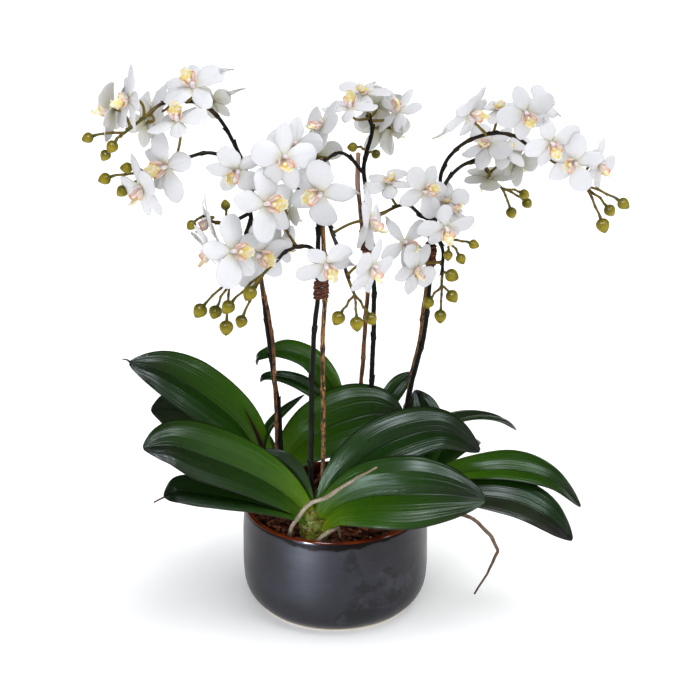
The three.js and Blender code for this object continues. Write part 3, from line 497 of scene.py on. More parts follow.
def sheet(shape, middle, thickness, along, aside, tint=0.5, finish=0):
    """A closed blade over a grid of middle points, rows along it, columns across. Its upper side has face 1."""
    rows, cols = middle.shape[:2]
    size = rows * cols
    normal = unit(np.cross(np.gradient(middle, axis=0), np.gradient(middle, axis=1)))
    half = normal * np.broadcast_to(thickness, (rows, cols))[..., None] / 2
    index, faces = grid_faces(rows, cols, False)
    faces = faces[:, [0, 3, 2, 1]]
    edge = np.concatenate([index[:-1, 0], index[-1, :-1], index[:0:-1, -1], index[0, :0:-1]])
    after = np.roll(edge, -1)
    rim = np.stack([after, edge, edge + size, after + size], -1)
    flat = [np.broadcast_to(each, (rows, cols)).ravel() for each in (along, aside)]
    place = np.concatenate([np.column_stack([*flat, np.full(size, upper)]) for upper in (1, 0)])
    faces = np.concatenate([faces, faces[:, ::-1] + size, rim])
    shape.add(np.concatenate([middle + half, middle - half]), faces, place, tint, finish)


def tube(shape, path, radii, sides, along=None, tint=0.5, finish=0, squash=None, zone=0.5):
    """A round rod along a path, rounded at both ends. "squash" gives its section by angle and share."""
    path = np.asarray(path, float)
    count = len(path)
    radii, tint = (np.broadcast_to(np.asarray(each, float), (count,)) for each in (radii, tint))
    along = np.linspace(0, 1, count) if along is None else along
    direction = tangents(path)
    side = across(direction[0])
    angles = np.arange(sides) * TURN / sides
    rings = []
    for i in range(count):
        side = unit(side - direction[i] * side.dot(direction[i]))
        reach = radii[i] * (squash(angles, along[i]) if squash else 1)
        rings.append(path[i] + spokes(angles, reach, side, np.cross(direction[i], side)))
    tips = [path[0] - direction[0] * radii[0] * 0.5, path[-1] + direction[-1] * radii[-1] * 0.5]
    share = [*np.repeat(along, sides), along[0], along[-1]]
    turns = [*np.tile(angles / TURN, count), 0, 0]
    place = np.column_stack([share, turns, np.full(len(share), zone)])
    shape.add(np.vstack([*rings, *tips]), rod_faces(count, sides), place,
              [*np.repeat(tint, sides), tint[0], tint[-1]], finish)


def turned(shape, profile, segments, wobble=lambda angles, z: 0):
    """A closed round body from a profile of radius and height that starts and ends on the axis."""
    angles = np.arange(segments) * TURN / segments
    rings = [spokes(angles, radius + wobble(angles, z), vec(1, 0, 0), vec(0, 1, 0)) + UP * z
             for radius, z in profile[1:-1]]
    tips = [UP * profile[0][1], UP * profile[-1][1]]
    shape.add(np.vstack([*rings, *tips]), rod_faces(len(rings), segments), (0, 0, 0.5))


# Materials

def colour(code):
    """A colour in light values from its six hex digits."""
    parts = [int(code[k:k + 2], 16) / 255 for k in (0, 2, 4)]
    return tuple(c / 12.92 if c <= 0.04045 else ((c + 0.055) / 1.055) ** 2.4 for c in parts) + (1,)


class Look:
    """A procedural material in the making.

    Each method adds a node and gives its output. Where it reads a factor or a height, a tuple is a noise.
    """

    def __init__(self, name, **constants):
        self.material = bpy.data.materials.new(name)
        self.material.use_nodes = True
        self.tree = self.material.node_tree
        self.shader = self.tree.nodes["Principled BSDF"]
        for socket, value in constants.items():
            self.shader.inputs[socket.replace("_", " ")].default_value = value
        self.spot = self.node("TexCoord").outputs["Object"]
        self.tint = self.node("Attribute", attribute_name="tint").outputs["Fac"]
        self.place = self.node("Attribute", attribute_name="place").outputs["Vector"]
        self.along, self.aside, self.face = self.node("SeparateXYZ", {0: self.place}).outputs

    def put(self, socket, value):
        if isinstance(value, bpy.types.NodeSocket):
            self.tree.links.new(value, socket)
        else:
            socket.default_value = colour(value) if isinstance(value, str) else value

    def node(self, kind, inputs=None, **settings):
        made = self.tree.nodes.new("ShaderNode" + kind)
        for name, value in settings.items():
            setattr(made, name, value)
        for key, value in (inputs or {}).items():
            self.put(made.inputs[key], value)
        return made

    def math(self, operation, *values, clamp=False):
        return self.node("Math", dict(enumerate(values)), operation=operation, use_clamp=clamp).outputs[0]

    def times(self, a, b):
        return self.math("MULTIPLY", a, b)

    def noise(self, scale, detail=3, rough=0.5, vector=None):
        inputs = {"Vector": vector or self.spot, "Scale": scale, "Detail": detail, "Roughness": rough}
        return self.node("TexNoise", inputs).outputs["Fac"]

    def grain(self, stretch, detail, rough=0.5, vector=None):
        """A noise with a scale of its own for each direction."""
        scaled = self.node("VectorMath", {0: vector or self.spot, 1: stretch}, operation="MULTIPLY")
        return self.noise(1, detail, rough, scaled.outputs[0])

    def frayed(self, value, amount, *noise):
        """A value with some noise added."""
        return self.math("ADD", value, self.times(self.noise(*noise), amount))

    def stripes(self, count, amount, *noise):
        """Uneven waves across a blade."""
        return self.math("SINE", self.frayed(self.times(self.aside, count), amount, *noise))

    def cells(self, scale):
        return self.node("TexVoronoi", {"Vector": self.spot, "Scale": scale}).outputs["Distance"]

    def read(self, value):
        return self.noise(*value) if isinstance(value, tuple) else value

    def ramp(self, factor, *stops):
        """Hex colours or grey levels at places along a factor."""
        node = self.node("ValToRGB", {0: self.read(factor)})
        elements = node.color_ramp.elements
        while len(elements) < len(stops):
            elements.new(1)
        for element, (position, value) in zip(elements, stops):
            element.position = position
            element.color = colour(value) if isinstance(value, str) else (value, value, value, 1)
        return node.outputs[0]

    def mix(self, factor, a, b):
        return self.node("Mix", {0: factor, 6: a, 7: b}, data_type="RGBA").outputs[2]

    def veil(self, base, over, factor, *stops):
        """A tone with another laid over it, as strongly as the ramp of a factor says."""
        return self.mix(self.ramp(factor, *stops), base, over)

    def done(self, base, roughness, *bumps):
        """The material. Each bump has a height, a strength and a distance, and lies on the one before it."""
        self.put(self.shader.inputs["Base Color"], base)
        self.put(self.shader.inputs["Roughness"], roughness)
        normal = {}
        for height, strength, distance in bumps:
            inputs = {"Height": self.read(height), "Strength": strength, "Distance": distance, **normal}
            normal = {"Normal": self.node("Bump", inputs).outputs[0]}
        for key, value in normal.items():
            self.put(self.shader.inputs[key], value)
        return self.material


def petal_look():
    look = Look("petal", Roughness=0.55, Specular_IOR_Level=0.3, Subsurface_Weight=0.45, Subsurface_Scale=0.004,
                Subsurface_Radius=(0.9, 0.95, 1.0))
    veins = look.math("POWER", look.math("ABSOLUTE", look.stripes(34, 7, 160, 2)), 6)
    patches = look.noise(110, 4)
    front = look.ramp(look.along, (0, "C9C690"), (0.14, "CECCBF"), (0.32, "D8D8DB"), (0.9, "D6D6DB"),
                      (1, "D0D0D4"))
    # The back is greener and greyer than the face: partly its own colour, partly painted shade of the side that
    # faces away from the light.
    back = look.ramp(look.along, (0, "8F9057"), (0.15, "B3B08D"), (0.5, "C8C5BC"), (1, "D0CFCD"))
    tone = look.mix(look.face, back, front)
    tone = look.mix(look.times(veins, 0.14), tone, "B3B4BD")
    tone = look.mix(look.times(patches, 0.12), tone, "BBBCC5")
    # Painted shade: a grey band along the margin, where the petal's edge turns from the light.
    tone = look.veil(tone, "BDBCC0", look.math("ABSOLUTE", look.aside), (0.93, 0), (1, 0.45))
    # Painted shade: the tint greys the petals of the branches listed as painted shade, and a little at random.
    tone = look.mix(look.times(look.tint, 0.45), tone, "8E8C86")
    tone = look.veil(tone, "8E7A58", look.math("SUBTRACT", look.along, 1), (0.3, 0), (0.9, 0.8))
    rough = look.ramp(patches, (0.3, 0.48), (0.7, 0.62))
    return look.done(tone, rough, ((2600, 2), 0.15, 0.0001), (veins, 0.25, 0.0002))


def lip_look():
    look = Look("lip", Subsurface_Weight=0.2, Subsurface_Scale=0.002)
    stripes = look.ramp(look.stripes(26, 5, 420, 2), (0.2, 0), (0.8, 1))
    cup = look.ramp(look.along, (0, "DFC9C4"), (0.25, "E6D9D6"), (0.6, "E9E0DB"), (0.82, "E9D2BE"),
                    (1, "E6BC96"))
    mark = look.ramp(look.along, (0, "D9A09E"), (0.3, "DC8C88"), (0.7, "E08D78"), (1, "E09A6C"))
    strength = look.ramp(look.along, (0, 0.3), (0.3, 0.75), (0.8, 0.5))
    cup = look.mix(look.times(stripes, strength), cup, mark)
    cup = look.veil(cup, "DC8262", look.frayed(look.along, 0.16, 260, 2), (0.93, 0), (1, 0.85))
    outside = look.veil("E2DCC6", cup, (300, 2), (0.4, 0.3), (0.65, 0.75))
    cup = look.mix(look.face, outside, cup)
    middle = look.ramp(look.along, (0, "E0AC7E"), (0.12, "E2C766"), (0.5, "E4D777"), (0.8, "E6DFA2"),
                       (1, "E2DECB"))
    middle = look.veil(middle, "EAE6D6", (300, 3), (0.44, 0), (0.6, 0.9))
    middle = look.veil(middle, "DD8A5A", look.cells(620), (0.1, 0.3), (0.3, 0))
    return look.done(look.mix(look.tint, cup, middle), 0.42, (stripes, 0.2, 0.0003), ((700, 3), 0.35, 0.0005))


def column_look():
    look = Look("column", Subsurface_Weight=0.2, Subsurface_Scale=0.002)
    tone = look.ramp(look.along, (0, "D9C9BE"), (0.35, "DCD6D8"), (0.8, "DAD6DB"), (1, "CDBFC4"))
    tone = look.veil(tone, "D9AEB0", (380, 2), (0.45, 0), (0.7, 0.55))
    return look.done(tone, 0.4, ((1200, 2), 0.2, 0.0002))


def leaf_look():
    look = Look("leaf", Specular_IOR_Level=0.11, Coat_Weight=0.11, Coat_Roughness=0.28)
    grey = look.ramp(look.along, (0, "4B5C1C"), (0.2, "2F3A1A"), (0.5, "23261C"), (1, "1E1C1B"))
    dark = look.ramp(look.along, (0, "7A9A1C"), (0.12, "40680A"), (0.28, "1C4206"), (0.55, "143206"),
                     (1, "0F210A"))
    bright = look.ramp(look.along, (0, "8FA41C"), (0.16, "567C06"), (0.38, "345C03"), (0.65, "234304"),
                       (1, "182F09"))
    # The tint picks each half's tone between grey-brown, dark and bright green: partly own colour, partly
    # painted light and shade.
    upper = look.mix(look.math("MULTIPLY_ADD", look.tint, 1.43, -0.43, clamp=True), dark, bright)
    upper = look.mix(look.math("MULTIPLY_ADD", look.tint, -3.3, 1, clamp=True), upper, grey)
    streaks = look.grain((3.2, 30, 1), 4, 0.6, look.place)
    upper = look.veil(upper, "0A1C08", streaks, (0.42, 0), (0.75, 0.22))
    drift = look.noise(28, 3)
    upper = look.veil(upper, "2A4A16", drift, (0.45, 0), (0.8, 0.22))
    ends = look.times(look.ramp(look.along, (0.7, 0), (1, 0.9)), look.ramp(drift, (0.35, 0.2), (0.6, 0.8)))
    upper = look.mix(ends, upper, "1C191B")
    under = look.ramp(look.along, (0, "6F8A30"), (0.3, "33461F"), (1, "262E22"))
    under = look.veil(under, "2E2226", drift, (0.4, 0), (0.7, 0.5))
    tone = look.mix(look.face, under, upper)
    reach = look.math("ABSOLUTE", look.aside)
    tone = look.veil(tone, "17140F", look.frayed(reach, 0.05, 60, 2), (0.965, 0), (1, 0.7))
    # Painted shade: a dark line along the midrib, where the crease of the fold lies in shade.
    tone = look.veil(tone, "0A1906", reach, (0, 0.65), (0.03, 0))
    ribs = look.math("SINE", look.times(look.aside, 64))
    tone = look.veil(tone, "0C1E08", ribs, (0.75, 0), (1, 0.16))
    fine = look.grain((6, 150, 1), 3, vector=look.place)
    rough = look.ramp((70, 3), (0.3, 0.26), (0.7, 0.36))
    return look.done(tone, rough, ((900, 2), 0.08, 0.0002), (fine, 0.25, 0.0004), (ribs, 0.3, 0.0003))


def sheath_look():
    look = Look("sheath", Specular_IOR_Level=0.12, Subsurface_Weight=0.05, Subsurface_Scale=0.002)
    tone = look.ramp((170, 4, 0.6), (0.3, "4C5E16"), (0.5, "78892E"), (0.7, "9CA352"))
    tone = look.veil(tone, "6B4218", (260, 4, 0.6), (0.5, 0), (0.6, 0.9))
    tone = look.veil(tone, "86541A", look.frayed(look.along, 0.5, 150, 3), (1, 0), (1, 0.9))
    tone = look.veil(tone, "2A1710", look.math("SUBTRACT", look.along, 1), (0.2, 0), (0.5, 1))
    return look.done(tone, 0.6, ((420, 4), 0.7, 0.0012))


def stem_look():
    look = Look("stem", Roughness=0.45, Specular_IOR_Level=0.1)
    tone = look.ramp(look.frayed(look.tint, 0.12, 90, 3), (0.04, "090B09"), (0.2, "14140D"), (0.42, "33260F"),
                     (0.6, "5E4B19"), (0.78, "6E5E1C"), (1, "3E4514"))
    flecks = look.times(look.ramp((700, 3), (0.5, 0), (0.8, 0.5)), look.tint)
    tone = look.mix(flecks, tone, "8B7A4A")
    grain = look.grain((1400, 1400, 90), 3)
    return look.done(tone, look.ramp(grain, (0.3, 0.38), (0.7, 0.55)), (grain, 0.4, 0.0004))


def bud_look():
    look = Look("bud", Specular_IOR_Level=0.22)
    tone = look.ramp(look.along, (0, "353206"), (0.25, "665C08"), (0.7, "928412"), (1, "54480A"))
    tone = look.veil(tone, "948216", (260, 3), (0.4, 0), (0.7, 0.6))
    tone = look.veil(tone, "4F580C", look.tint, (0, 0), (1, 0.25))
    seams = look.math("ABSOLUTE", look.math("SINE", look.times(look.aside, 3 * math.pi)))
    tone = look.veil(tone, "33370A", seams, (0, 0.6), (0.14, 0))
    return look.done(tone, look.ramp((500, 2), (0.3, 0.28), (0.7, 0.38)), ((1500, 3), 0.2, 0.0003))


def twig_look():
    look = Look("twig", Specular_IOR_Level=0.3)
    grain = look.grain((900, 900, 60), 4, 0.6)
    red = look.ramp(grain, (0.3, "220F09"), (0.5, "552E1B"), (0.7, "855438"))
    gold = look.ramp(grain, (0.3, "52320F"), (0.5, "966428"), (0.7, "CB9B52"))
    tone = look.mix(look.tint, red, gold)
    scars = look.math("ADD", look.grain((330, 330, 120), 3, 0.65), look.times(look.tint, 0.05))
    tone = look.veil(tone, "150A06", scars, (0.54, 0), (0.58, 0.92))
    tone = look.veil(tone, "B08456", look.cells(520), (0.08, 0.7), (0.2, 0))
    tone = look.veil(tone, "A98B80", look.face, (0.55, 0), (1, 0.75))
    tone = look.veil(tone, "C79C77", look.along, (0.985, 0), (1, 1))
    return look.done(tone, 0.78, ((1500, 2), 0.3, 0.0003), (grain, 0.6, 0.0008))


def raffia_look():
    look = Look("raffia", Specular_IOR_Level=0.25)
    fibres = look.stripes(40, 9, 300, 2)
    tone = look.ramp((260, 4, 0.6), (0.3, "2C110A"), (0.5, "64301C"), (0.72, "9C5E3C"))
    tone = look.veil(tone, "B5764F", fibres, (0.6, 0), (1, 0.3))
    tone = look.veil(tone, "260E08", look.tint, (0.2, 0.7), (0.6, 0))
    return look.done(tone, 0.82, (fibres, 0.5, 0.0004))


def root_look():
    look = Look("root", Specular_IOR_Level=0.3)
    skin = look.noise(260, 4, 0.6)
    pale = look.ramp(skin, (0.3, "6E6048"), (0.5, "948570"), (0.7, "B0A38C"))
    brown = look.ramp(skin, (0.3, "2F1D13"), (0.6, "573A28"), (0.8, "7B5C45"))
    tone = look.veil(look.mix(look.tint, pale, brown), "6B6540", (60, 3), (0.5, 0), (0.75, 0.4))
    return look.done(tone, 0.74, ((480, 4), 0.35, 0.0006))


def bark_look():
    look = Look("bark", Specular_IOR_Level=0.25)
    grain = look.grain((500, 120, 260), 4, 0.65)
    dark = look.ramp(grain, (0.3, "0B0503"), (0.5, "1F0E08"), (0.75, "3E2014"))
    light = look.ramp(grain, (0.3, "4A2416"), (0.5, "7E472F"), (0.75, "B37F5E"))
    return look.done(look.mix(look.tint, dark, light), 0.88, (grain, 0.8, 0.0012))


def glaze_look():
    """Cloudy dark glaze, blacker where it ran from the rim, rust where it is thin and bare clay at the foot.

    The height is 0 at the foot and 0.9 at the rim.
    """
    look = Look("glaze", Specular_IOR_Level=0.22, Coat_Weight=0.08, Coat_Roughness=0.12)
    above, within = look.along, look.aside
    height = look.times(look.node("SeparateXYZ", {0: look.spot}).outputs[2], 0.9 / (POT_HEIGHT * MM))
    tone = look.ramp((16, 5, 0.6), (0.3, "141318"), (0.5, "1B1A21"), (0.72, "2A2A38"))
    tone = look.veil(tone, "34343F", look.grain((12, 12, 900), 3, 0.6), (0.4, 0), (0.7, 0.22))
    where = look.ramp((9, 2), (0.48, 0), (0.6, 1))
    tone = look.veil(tone, "060608", look.times(look.noise(34, 6, 0.7), where), (0.4, 0), (0.5, 0.8))
    tone = look.veil(tone, "4A4A56", look.times(look.noise(52, 4, 0.6), where), (0.5, 0), (0.62, 0.25))
    tone = look.veil(tone, "0F0403", above, (0.4, 0), (0.5, 1))
    rust = look.ramp((45, 3), (0.3, "3C1004"), (0.7, "66280A"))
    edge = look.ramp(look.frayed(height, 0.012, 34, 3), (0.884, 0), (0.892, 1))
    tone = look.mix(look.math("MAXIMUM", edge, within), tone, rust)
    tone = look.veil(tone, "55545C", (900, 2), (0.68, 0), (0.76, 0.3))
    tone = look.veil(tone, "D8CCB8", height, (0.014, 1), (0.022, 0))
    rough = look.mix(edge, look.ramp((24, 4), (0.3, 0.3), (0.7, 0.42)), (0.12, 0.12, 0.12, 1))
    return look.done(tone, rough, ((1300, 2), 0.06, 0.0002), ((60, 3), 0.12, 0.001))


def run_look():
    look = Look("glaze_run", Specular_IOR_Level=0.06, Coat_Weight=0.02, Coat_Roughness=0.08)
    return look.done(look.ramp((60, 3), (0.3, "050202"), (0.7, "0F0504")), 0.3, ((60, 3), 0.12, 0.001))


def floor_look():
    look = Look("floor", Specular_IOR_Level=0, Emission_Strength=0.15, Emission_Color=(1, 1, 1, 1))
    return look.done(look.ramp((3, 2), (0.3, "FBFBFB"), (0.7, "FFFFFF")), 0.9)


# Leaves and crowns

def blade(rib, t, face, spread, lift):
    """The middle points of a blade whose upper side looks to "face", and its sideways directions."""
    path = curve(rib, t[:, 0])
    direction = tangents(path)
    side = unit(np.cross(direction, vec(*face)))
    normal = np.cross(side, direction)
    return path[:, None] + spread[..., None] * side[:, None] + lift[..., None] * normal[:, None], side


def leaf_width(share, taper):
    """Half the width along a leaf, as a share of its widest. A blunt one narrows before its end."""
    spread = 0.2 + 0.8 * smoothstep(share, -0.1, 0.6)
    if taper > LEAF_TAPER:
        spread = spread * (1 - 0.4 * smoothstep(share, 0.45, 0.88))
    tip = np.clip((share - taper) / (1 - taper), 0, 1)
    return spread * (1 - 0.97 * tip ** 1.6) ** 0.75


def leaf(shape, rib, half, face, tones_with_painted_shade, taper, rng):
    """A strap leaf: folded along its rib, each half a little domed and ribbed, with wavy edges."""
    t, a = spans(*LEAF_GRID)
    t, a = np.minimum(1 - (1 - t) ** 1.4, 0.9995), -a
    width = half * leaf_width(t, taper)
    span = np.abs(a)
    body = window(t, 0, 0.12, 0.86, 1)
    fold = width * (0.55 - 0.36 * t) * span ** 1.05
    dome = width * body * (0.1 * np.sin(math.pi * span) - 0.09 * span ** 4)
    groove = 0.5 * bells(width * a, 1.1, 0) * body
    ribs = np.cos(a * math.pi * max(int(round(half / 5)), 3)) * (1 - span ** 5) * smoothstep(span, 0.02, 0.14)
    lift = fold + dome - groove + 0.28 * body * ribs
    start = phase(rng)
    for sign in (-1, 1):
        wave = ripple(rng, 3, t * 7 + start)
        lift += wave * half * 0.04 * body * np.where(a * sign > 0, span ** 2, 0)
    middle, side = blade(rib, t, face, width * a, lift)
    thick = (1 - 0.5 * smoothstep(t, 0.8, 1)) * (0.7 + 1.1 * (1 - span ** 2))
    upper = 1 if side[len(t) // 2][2] > 0 else -1
    # Each half gets its tone: partly the leaf's own colour, partly painted light and shade by which way the
    # half faces.
    tone = tones_with_painted_shade[1] + (tones_with_painted_shade[0] - tones_with_painted_shade[1]) * smoothstep(a * upper, -0.03, 0.03)
    sheet(shape, middle, thick, t, a, np.tile(tone, 2 * len(t)))


def crown(shape, x, y, rng):
    """The short stem that the leaves sit on, wrapped in tiers of torn papery scales."""
    core = [vec(x - CROWN_LEAN * max(z - 95, 0), y - 0.08 * max(z - 95, 0), z) for z, _ in CROWN_CORE]

    def knobbly(angle, at):
        return 1 + 0.09 * np.sin(3 * angle + 1 + 9 * at) + 0.06 * np.sin(7 * angle + 20 * at)

    tube(shape, core, [radius for _, radius in CROWN_CORE], 24, along=np.linspace(0, 0.5, len(core)), finish=1,
         squash=knobbly)
    t, a = spans(*SCALE_GRID)
    shoulder = np.sin(np.linspace(0.2, math.pi - 0.2, a.size)) ** 0.5
    for low, tall, girth in CROWN_TIERS:
        lean = CROWN_LEAN * (low - 86)
        first = phase(rng)
        for k in range(4):
            angles = first + k * math.pi / 2 + np.linspace(0, rng.uniform(1.7, 2.4), a.size)
            height = tall * rng.uniform(0.85, 1.1)
            ragged, lumps = ripple(rng, 6, angles * 6), ripple(rng, 4, angles * 4)
            reach = girth + 0.4 * k + 1.9 * t ** 3 + 0.7 * np.sin(math.pi * t) + lumps * 0.7 * t
            z = low + height * t * shoulder + ragged * 1.5 * t ** 3
            grid = np.stack([x - lean + np.cos(angles) * reach, y - 0.6 * lean + np.sin(angles) * reach, z], -1)
            sheet(shape, grid[:, ::-1], 0.6, t, a, 0.5, 1)


def dry_bract(shape, points, half):
    """A dried pointed scale that stands between the leaves."""
    t, a = spans(*DRY_BRACT_GRID)
    t, a = 0.99 * t, -a
    width = half * (1 - t) ** 0.8
    middle, _ = blade(points, t, (0.2, -1, 0.2), width * a, width * np.abs(a) * 0.8)
    sheet(shape, middle, 0.6, 1.6 + 0.1 * t, a, 0.5, 1)


def build_rosette(name, materials):
    rng = random.Random("rosette " + name)
    shape = Shape()
    for k, leaf_row in enumerate(LEAVES[name]):
        leaf(shape, *leaf_row, BLUNT_TAPER if (name, k) in BLUNT_LEAVES else LEAF_TAPER, rng)
    crown(shape, *CROWNS[name], rng)
    if name == "left":
        tip = curve(CURLED_TIP, np.linspace(0, 1, 8))
        tube(shape, tip, np.linspace(1.4, 0.5, 8), 8, along=np.ones(8), tint=0.2)
        dry_bract(shape, DRY_BRACT, 2.6)
    shape.make("leaves_" + name, "leaf", "rosette_" + name, materials)


def build_root(name, materials):
    thickness, brown, points = ROOTS[name]
    hanging = name == "root_hanging"
    rng = random.Random(name)
    path, run = evenly(evenly(points, 9)[0], 2.2) if hanging else smooth_path(points, 2.2)
    share = run / run[-1]
    thin_end = smoothstep(share, 0.6, 1)
    radii = ROOT_RADIUS * thickness * (1 - 0.5 * thin_end) * (1 + 0.05 * ripple(rng, 5, run * 0.22))
    path = path + 0.3 * wander(rng, run * 0.13)
    shape = Shape()
    tube(shape, path, radii, 12, along=share, tint=np.minimum(brown + 0.25 * thin_end, 1),
         squash=lambda angle, _: 1 + 0.05 * np.sin(2 * angle + 1))
    if hanging:
        for at in rng.sample(range(len(path) // 3, len(path) - 4), 3):
            out = unit(vec(rng.uniform(-1, 1), rng.uniform(-1, 1), rng.uniform(-0.5, 1)))
            knob = path[at] + np.outer(np.linspace(0.4, 1.1, 4), out) * ROOT_RADIUS
            tube(shape, knob, (0.9, 0.8, 0.6, 0.3), 8, along=np.full(4, share[at]))
    shape.make("aerial_" + name, "aerial_root", name, materials)


# Stems, buds, stakes and ties

def bract(shape, spot, direction, outward, radius, length, tint):
    """A scale that clasps a stem and points along it."""
    outward = unit(outward - direction * direction.dot(outward))
    t, a = spans(*BRACT_GRID)
    rows = []
    for s in t[:, 0]:
        angles = a * 1.9 * (1 - s) ** 0.6 + a * 0.05
        reach = radius * (1.06 + 0.12 * s) + 0.9 * s * s
        clasp = spokes(angles, reach, outward, np.cross(direction, outward))
        rows.append(spot + direction * (s - 0.25) * length + clasp)
    sheet(shape, np.array(rows), 0.5, 0.5, 0.5, tint)


def bloom_frame(at, turn, lift, roll, size=1, breadth=1):
    """Where a bloom is, the directions to its right, up and out of its face, its size and its breadth."""
    a, e, r = (math.radians(v) for v in (turn, lift, roll))
    out = vec(math.sin(a) * math.cos(e), -math.cos(a) * math.cos(e), math.sin(e))
    up = vec(-math.sin(a) * math.sin(e), math.cos(a) * math.sin(e), math.cos(e))
    up = up * math.cos(r) + np.cross(out, up) * math.sin(r)
    return vec(*at), np.array([np.cross(up, out), up, out]), size, breadth


def pedicel(shape, path, flower, rng):
    """The stalk of a bloom. Gives its foot and the way it leaves the stem."""
    centre, (_, _, out), size, _ = bloom_frame(*flower)
    end = centre - out * (HUB_DEPTH * size + CLEARANCE)
    start = nearest_on(path, end)
    bend = end - out * min(np.linalg.norm(start - end) * 0.45, 12)
    line, share = bezier([start, start * 0.4 + bend * 0.6, bend, end + out * 1.5], 15)
    radii = 1.3 + 0.35 * smoothstep(share, 0.55, 1) + 0.5 * (1 - smoothstep(share, 0, 0.15))
    tube(shape, line, radii, 10, tint=0.62 + 0.12 * share + rng.uniform(-0.06, 0.06), along=share,
         squash=lambda angle, at: 1 + 0.06 * at * np.cos(3 * angle))
    return start, unit(line[3] - start)


def bud(stalks, eggs, path, x, y, z, size, rng):
    """A bud, with its jointed stalk in one mesh and its egg in another."""
    centre = vec(x, y, z)
    foot = nearest_on(path, centre)
    axis = unit(unit(centre - foot) - 0.25 * UP)
    length, radius = BUD_LENGTH * size, BUD_RADIUS * size
    base = centre - axis * 0.46 * length
    hold = base - axis * np.linalg.norm(base - foot) * 0.35
    stalk, t = bezier([foot, hold, base + axis * 0.8], 15)
    sway = across(axis) * rng.uniform(-1, 1) + np.cross(axis, across(axis)) * rng.uniform(-1, 1)
    stalk = stalk + np.outer(np.interp(t, (0, 0.3, 0.55, 0.8, 1), (0, 1.1, -0.9, 0.5, 0)), sway)
    joints = bells(t, 0.05, 0.3, 0.56)
    radii = 1.15 + 0.4 * (1 - smoothstep(t, 0, 0.2)) + 0.5 * smoothstep(t, 0.75, 1) + 0.3 * joints
    tube(stalks, stalk, radii, 9, tint=0.5 + 0.45 * t + rng.uniform(-0.05, 0.05) - 0.2 * joints)
    share = np.linspace(0, 1, 17)
    profile = np.maximum(np.sin(math.pi * share ** 0.86) ** 0.62 * (1.04 - 0.2 * share), 0.05)
    fold = phase(rng)
    tube(eggs, base + np.outer(share * length, axis), radius * 1.1 * profile, 20, along=share,
         tint=rng.uniform(0, 1), squash=lambda angle, _: 1 - 0.05 * np.abs(np.cos(1.5 * angle + fold)) ** 8)


def build_stem(name, materials):
    """A stem with its branches, the stalks of their blooms and buds, and their bracts."""
    rng = random.Random("stem " + name)
    shape, buds = Shape(), Shape()
    for branch, points in SPRAYS[name].items():
        main = branch == name
        line, run = smooth_path(points, 2.5)
        share = run / run[-1]
        first, step, scale = STEM_JOINTS if main else BRANCH_JOINTS
        if main:
            base = STEM_RADIUS * (1 - 0.3 * share)
            hue = np.maximum(0.04 + 0.04 * ripple(rng, 3, run * 0.03), 0)
        else:
            base = BRANCH_RADIUS * (1 - 0.25 * share)
            hue = 0.08 + ((1 if branch in BUDS else 0.55) - 0.08) * smoothstep(share, 0.72, 1)
            hue += 0.14 * (1 + ripple(rng, 3, run * 0.06)) * smoothstep(share, 0.1, 0.5)
        jointed = main or run[-1] > 40
        joints = [at + rng.uniform(-6, 6) for at in np.arange(first, run[-1] - 6, step) if jointed]
        swell = bells(run, 1.8, *joints)
        line = line + 0.3 * wander(rng, run * 0.09)
        radii = base * (1 + 0.22 * swell + 0.04 * ripple(rng, 4, run * 0.4))
        tube(shape, line, radii, 12, along=share, tint=hue + 0.06 * swell)
        direction = tangents(line)
        for k, at in enumerate(joints):
            i = index_of(run, at)
            if line[i][2] > BRACT_FROM:
                outward = around(direction[i], k * 2.6 + 0.7)
                bract(shape, line[i], direction[i], outward, base[i], scale, hue[i] + 0.08)
        path = np.array(points, float)
        for flower in BLOOMS.get(branch, []):
            spot, outward = pedicel(shape, path, flower, rng)
            i = int(np.argmin(np.linalg.norm(line - spot, axis=1)))
            bract(shape, line[i], direction[i], outward - direction[i] * 0.2, base[i], 5.5, hue[i] + 0.15)
        for each in BUDS.get(branch, []):
            bud(shape, buds, path, *each, rng)
    shape.make("spray_" + name, "stem", "stem_" + name, materials[:1])
    if buds.count:
        buds.make("buds_" + name, "bud", "stem_" + name, materials[1:])


def stake_path(name):
    path = np.array(STAKES[name][-1], float)
    foot = vec(path[0][0], path[0][1], STAKE_FOOT)
    stem = np.array(SPRAYS[name][name], float)
    return kept_beside(np.vstack([foot, path]), stem, STEM_RADIUS + STAKE_RADIUS + 2 * CLEARANCE)


def grooved(angle, share):
    return 1 + 0.06 * np.sin(3 * angle + 9 * share)


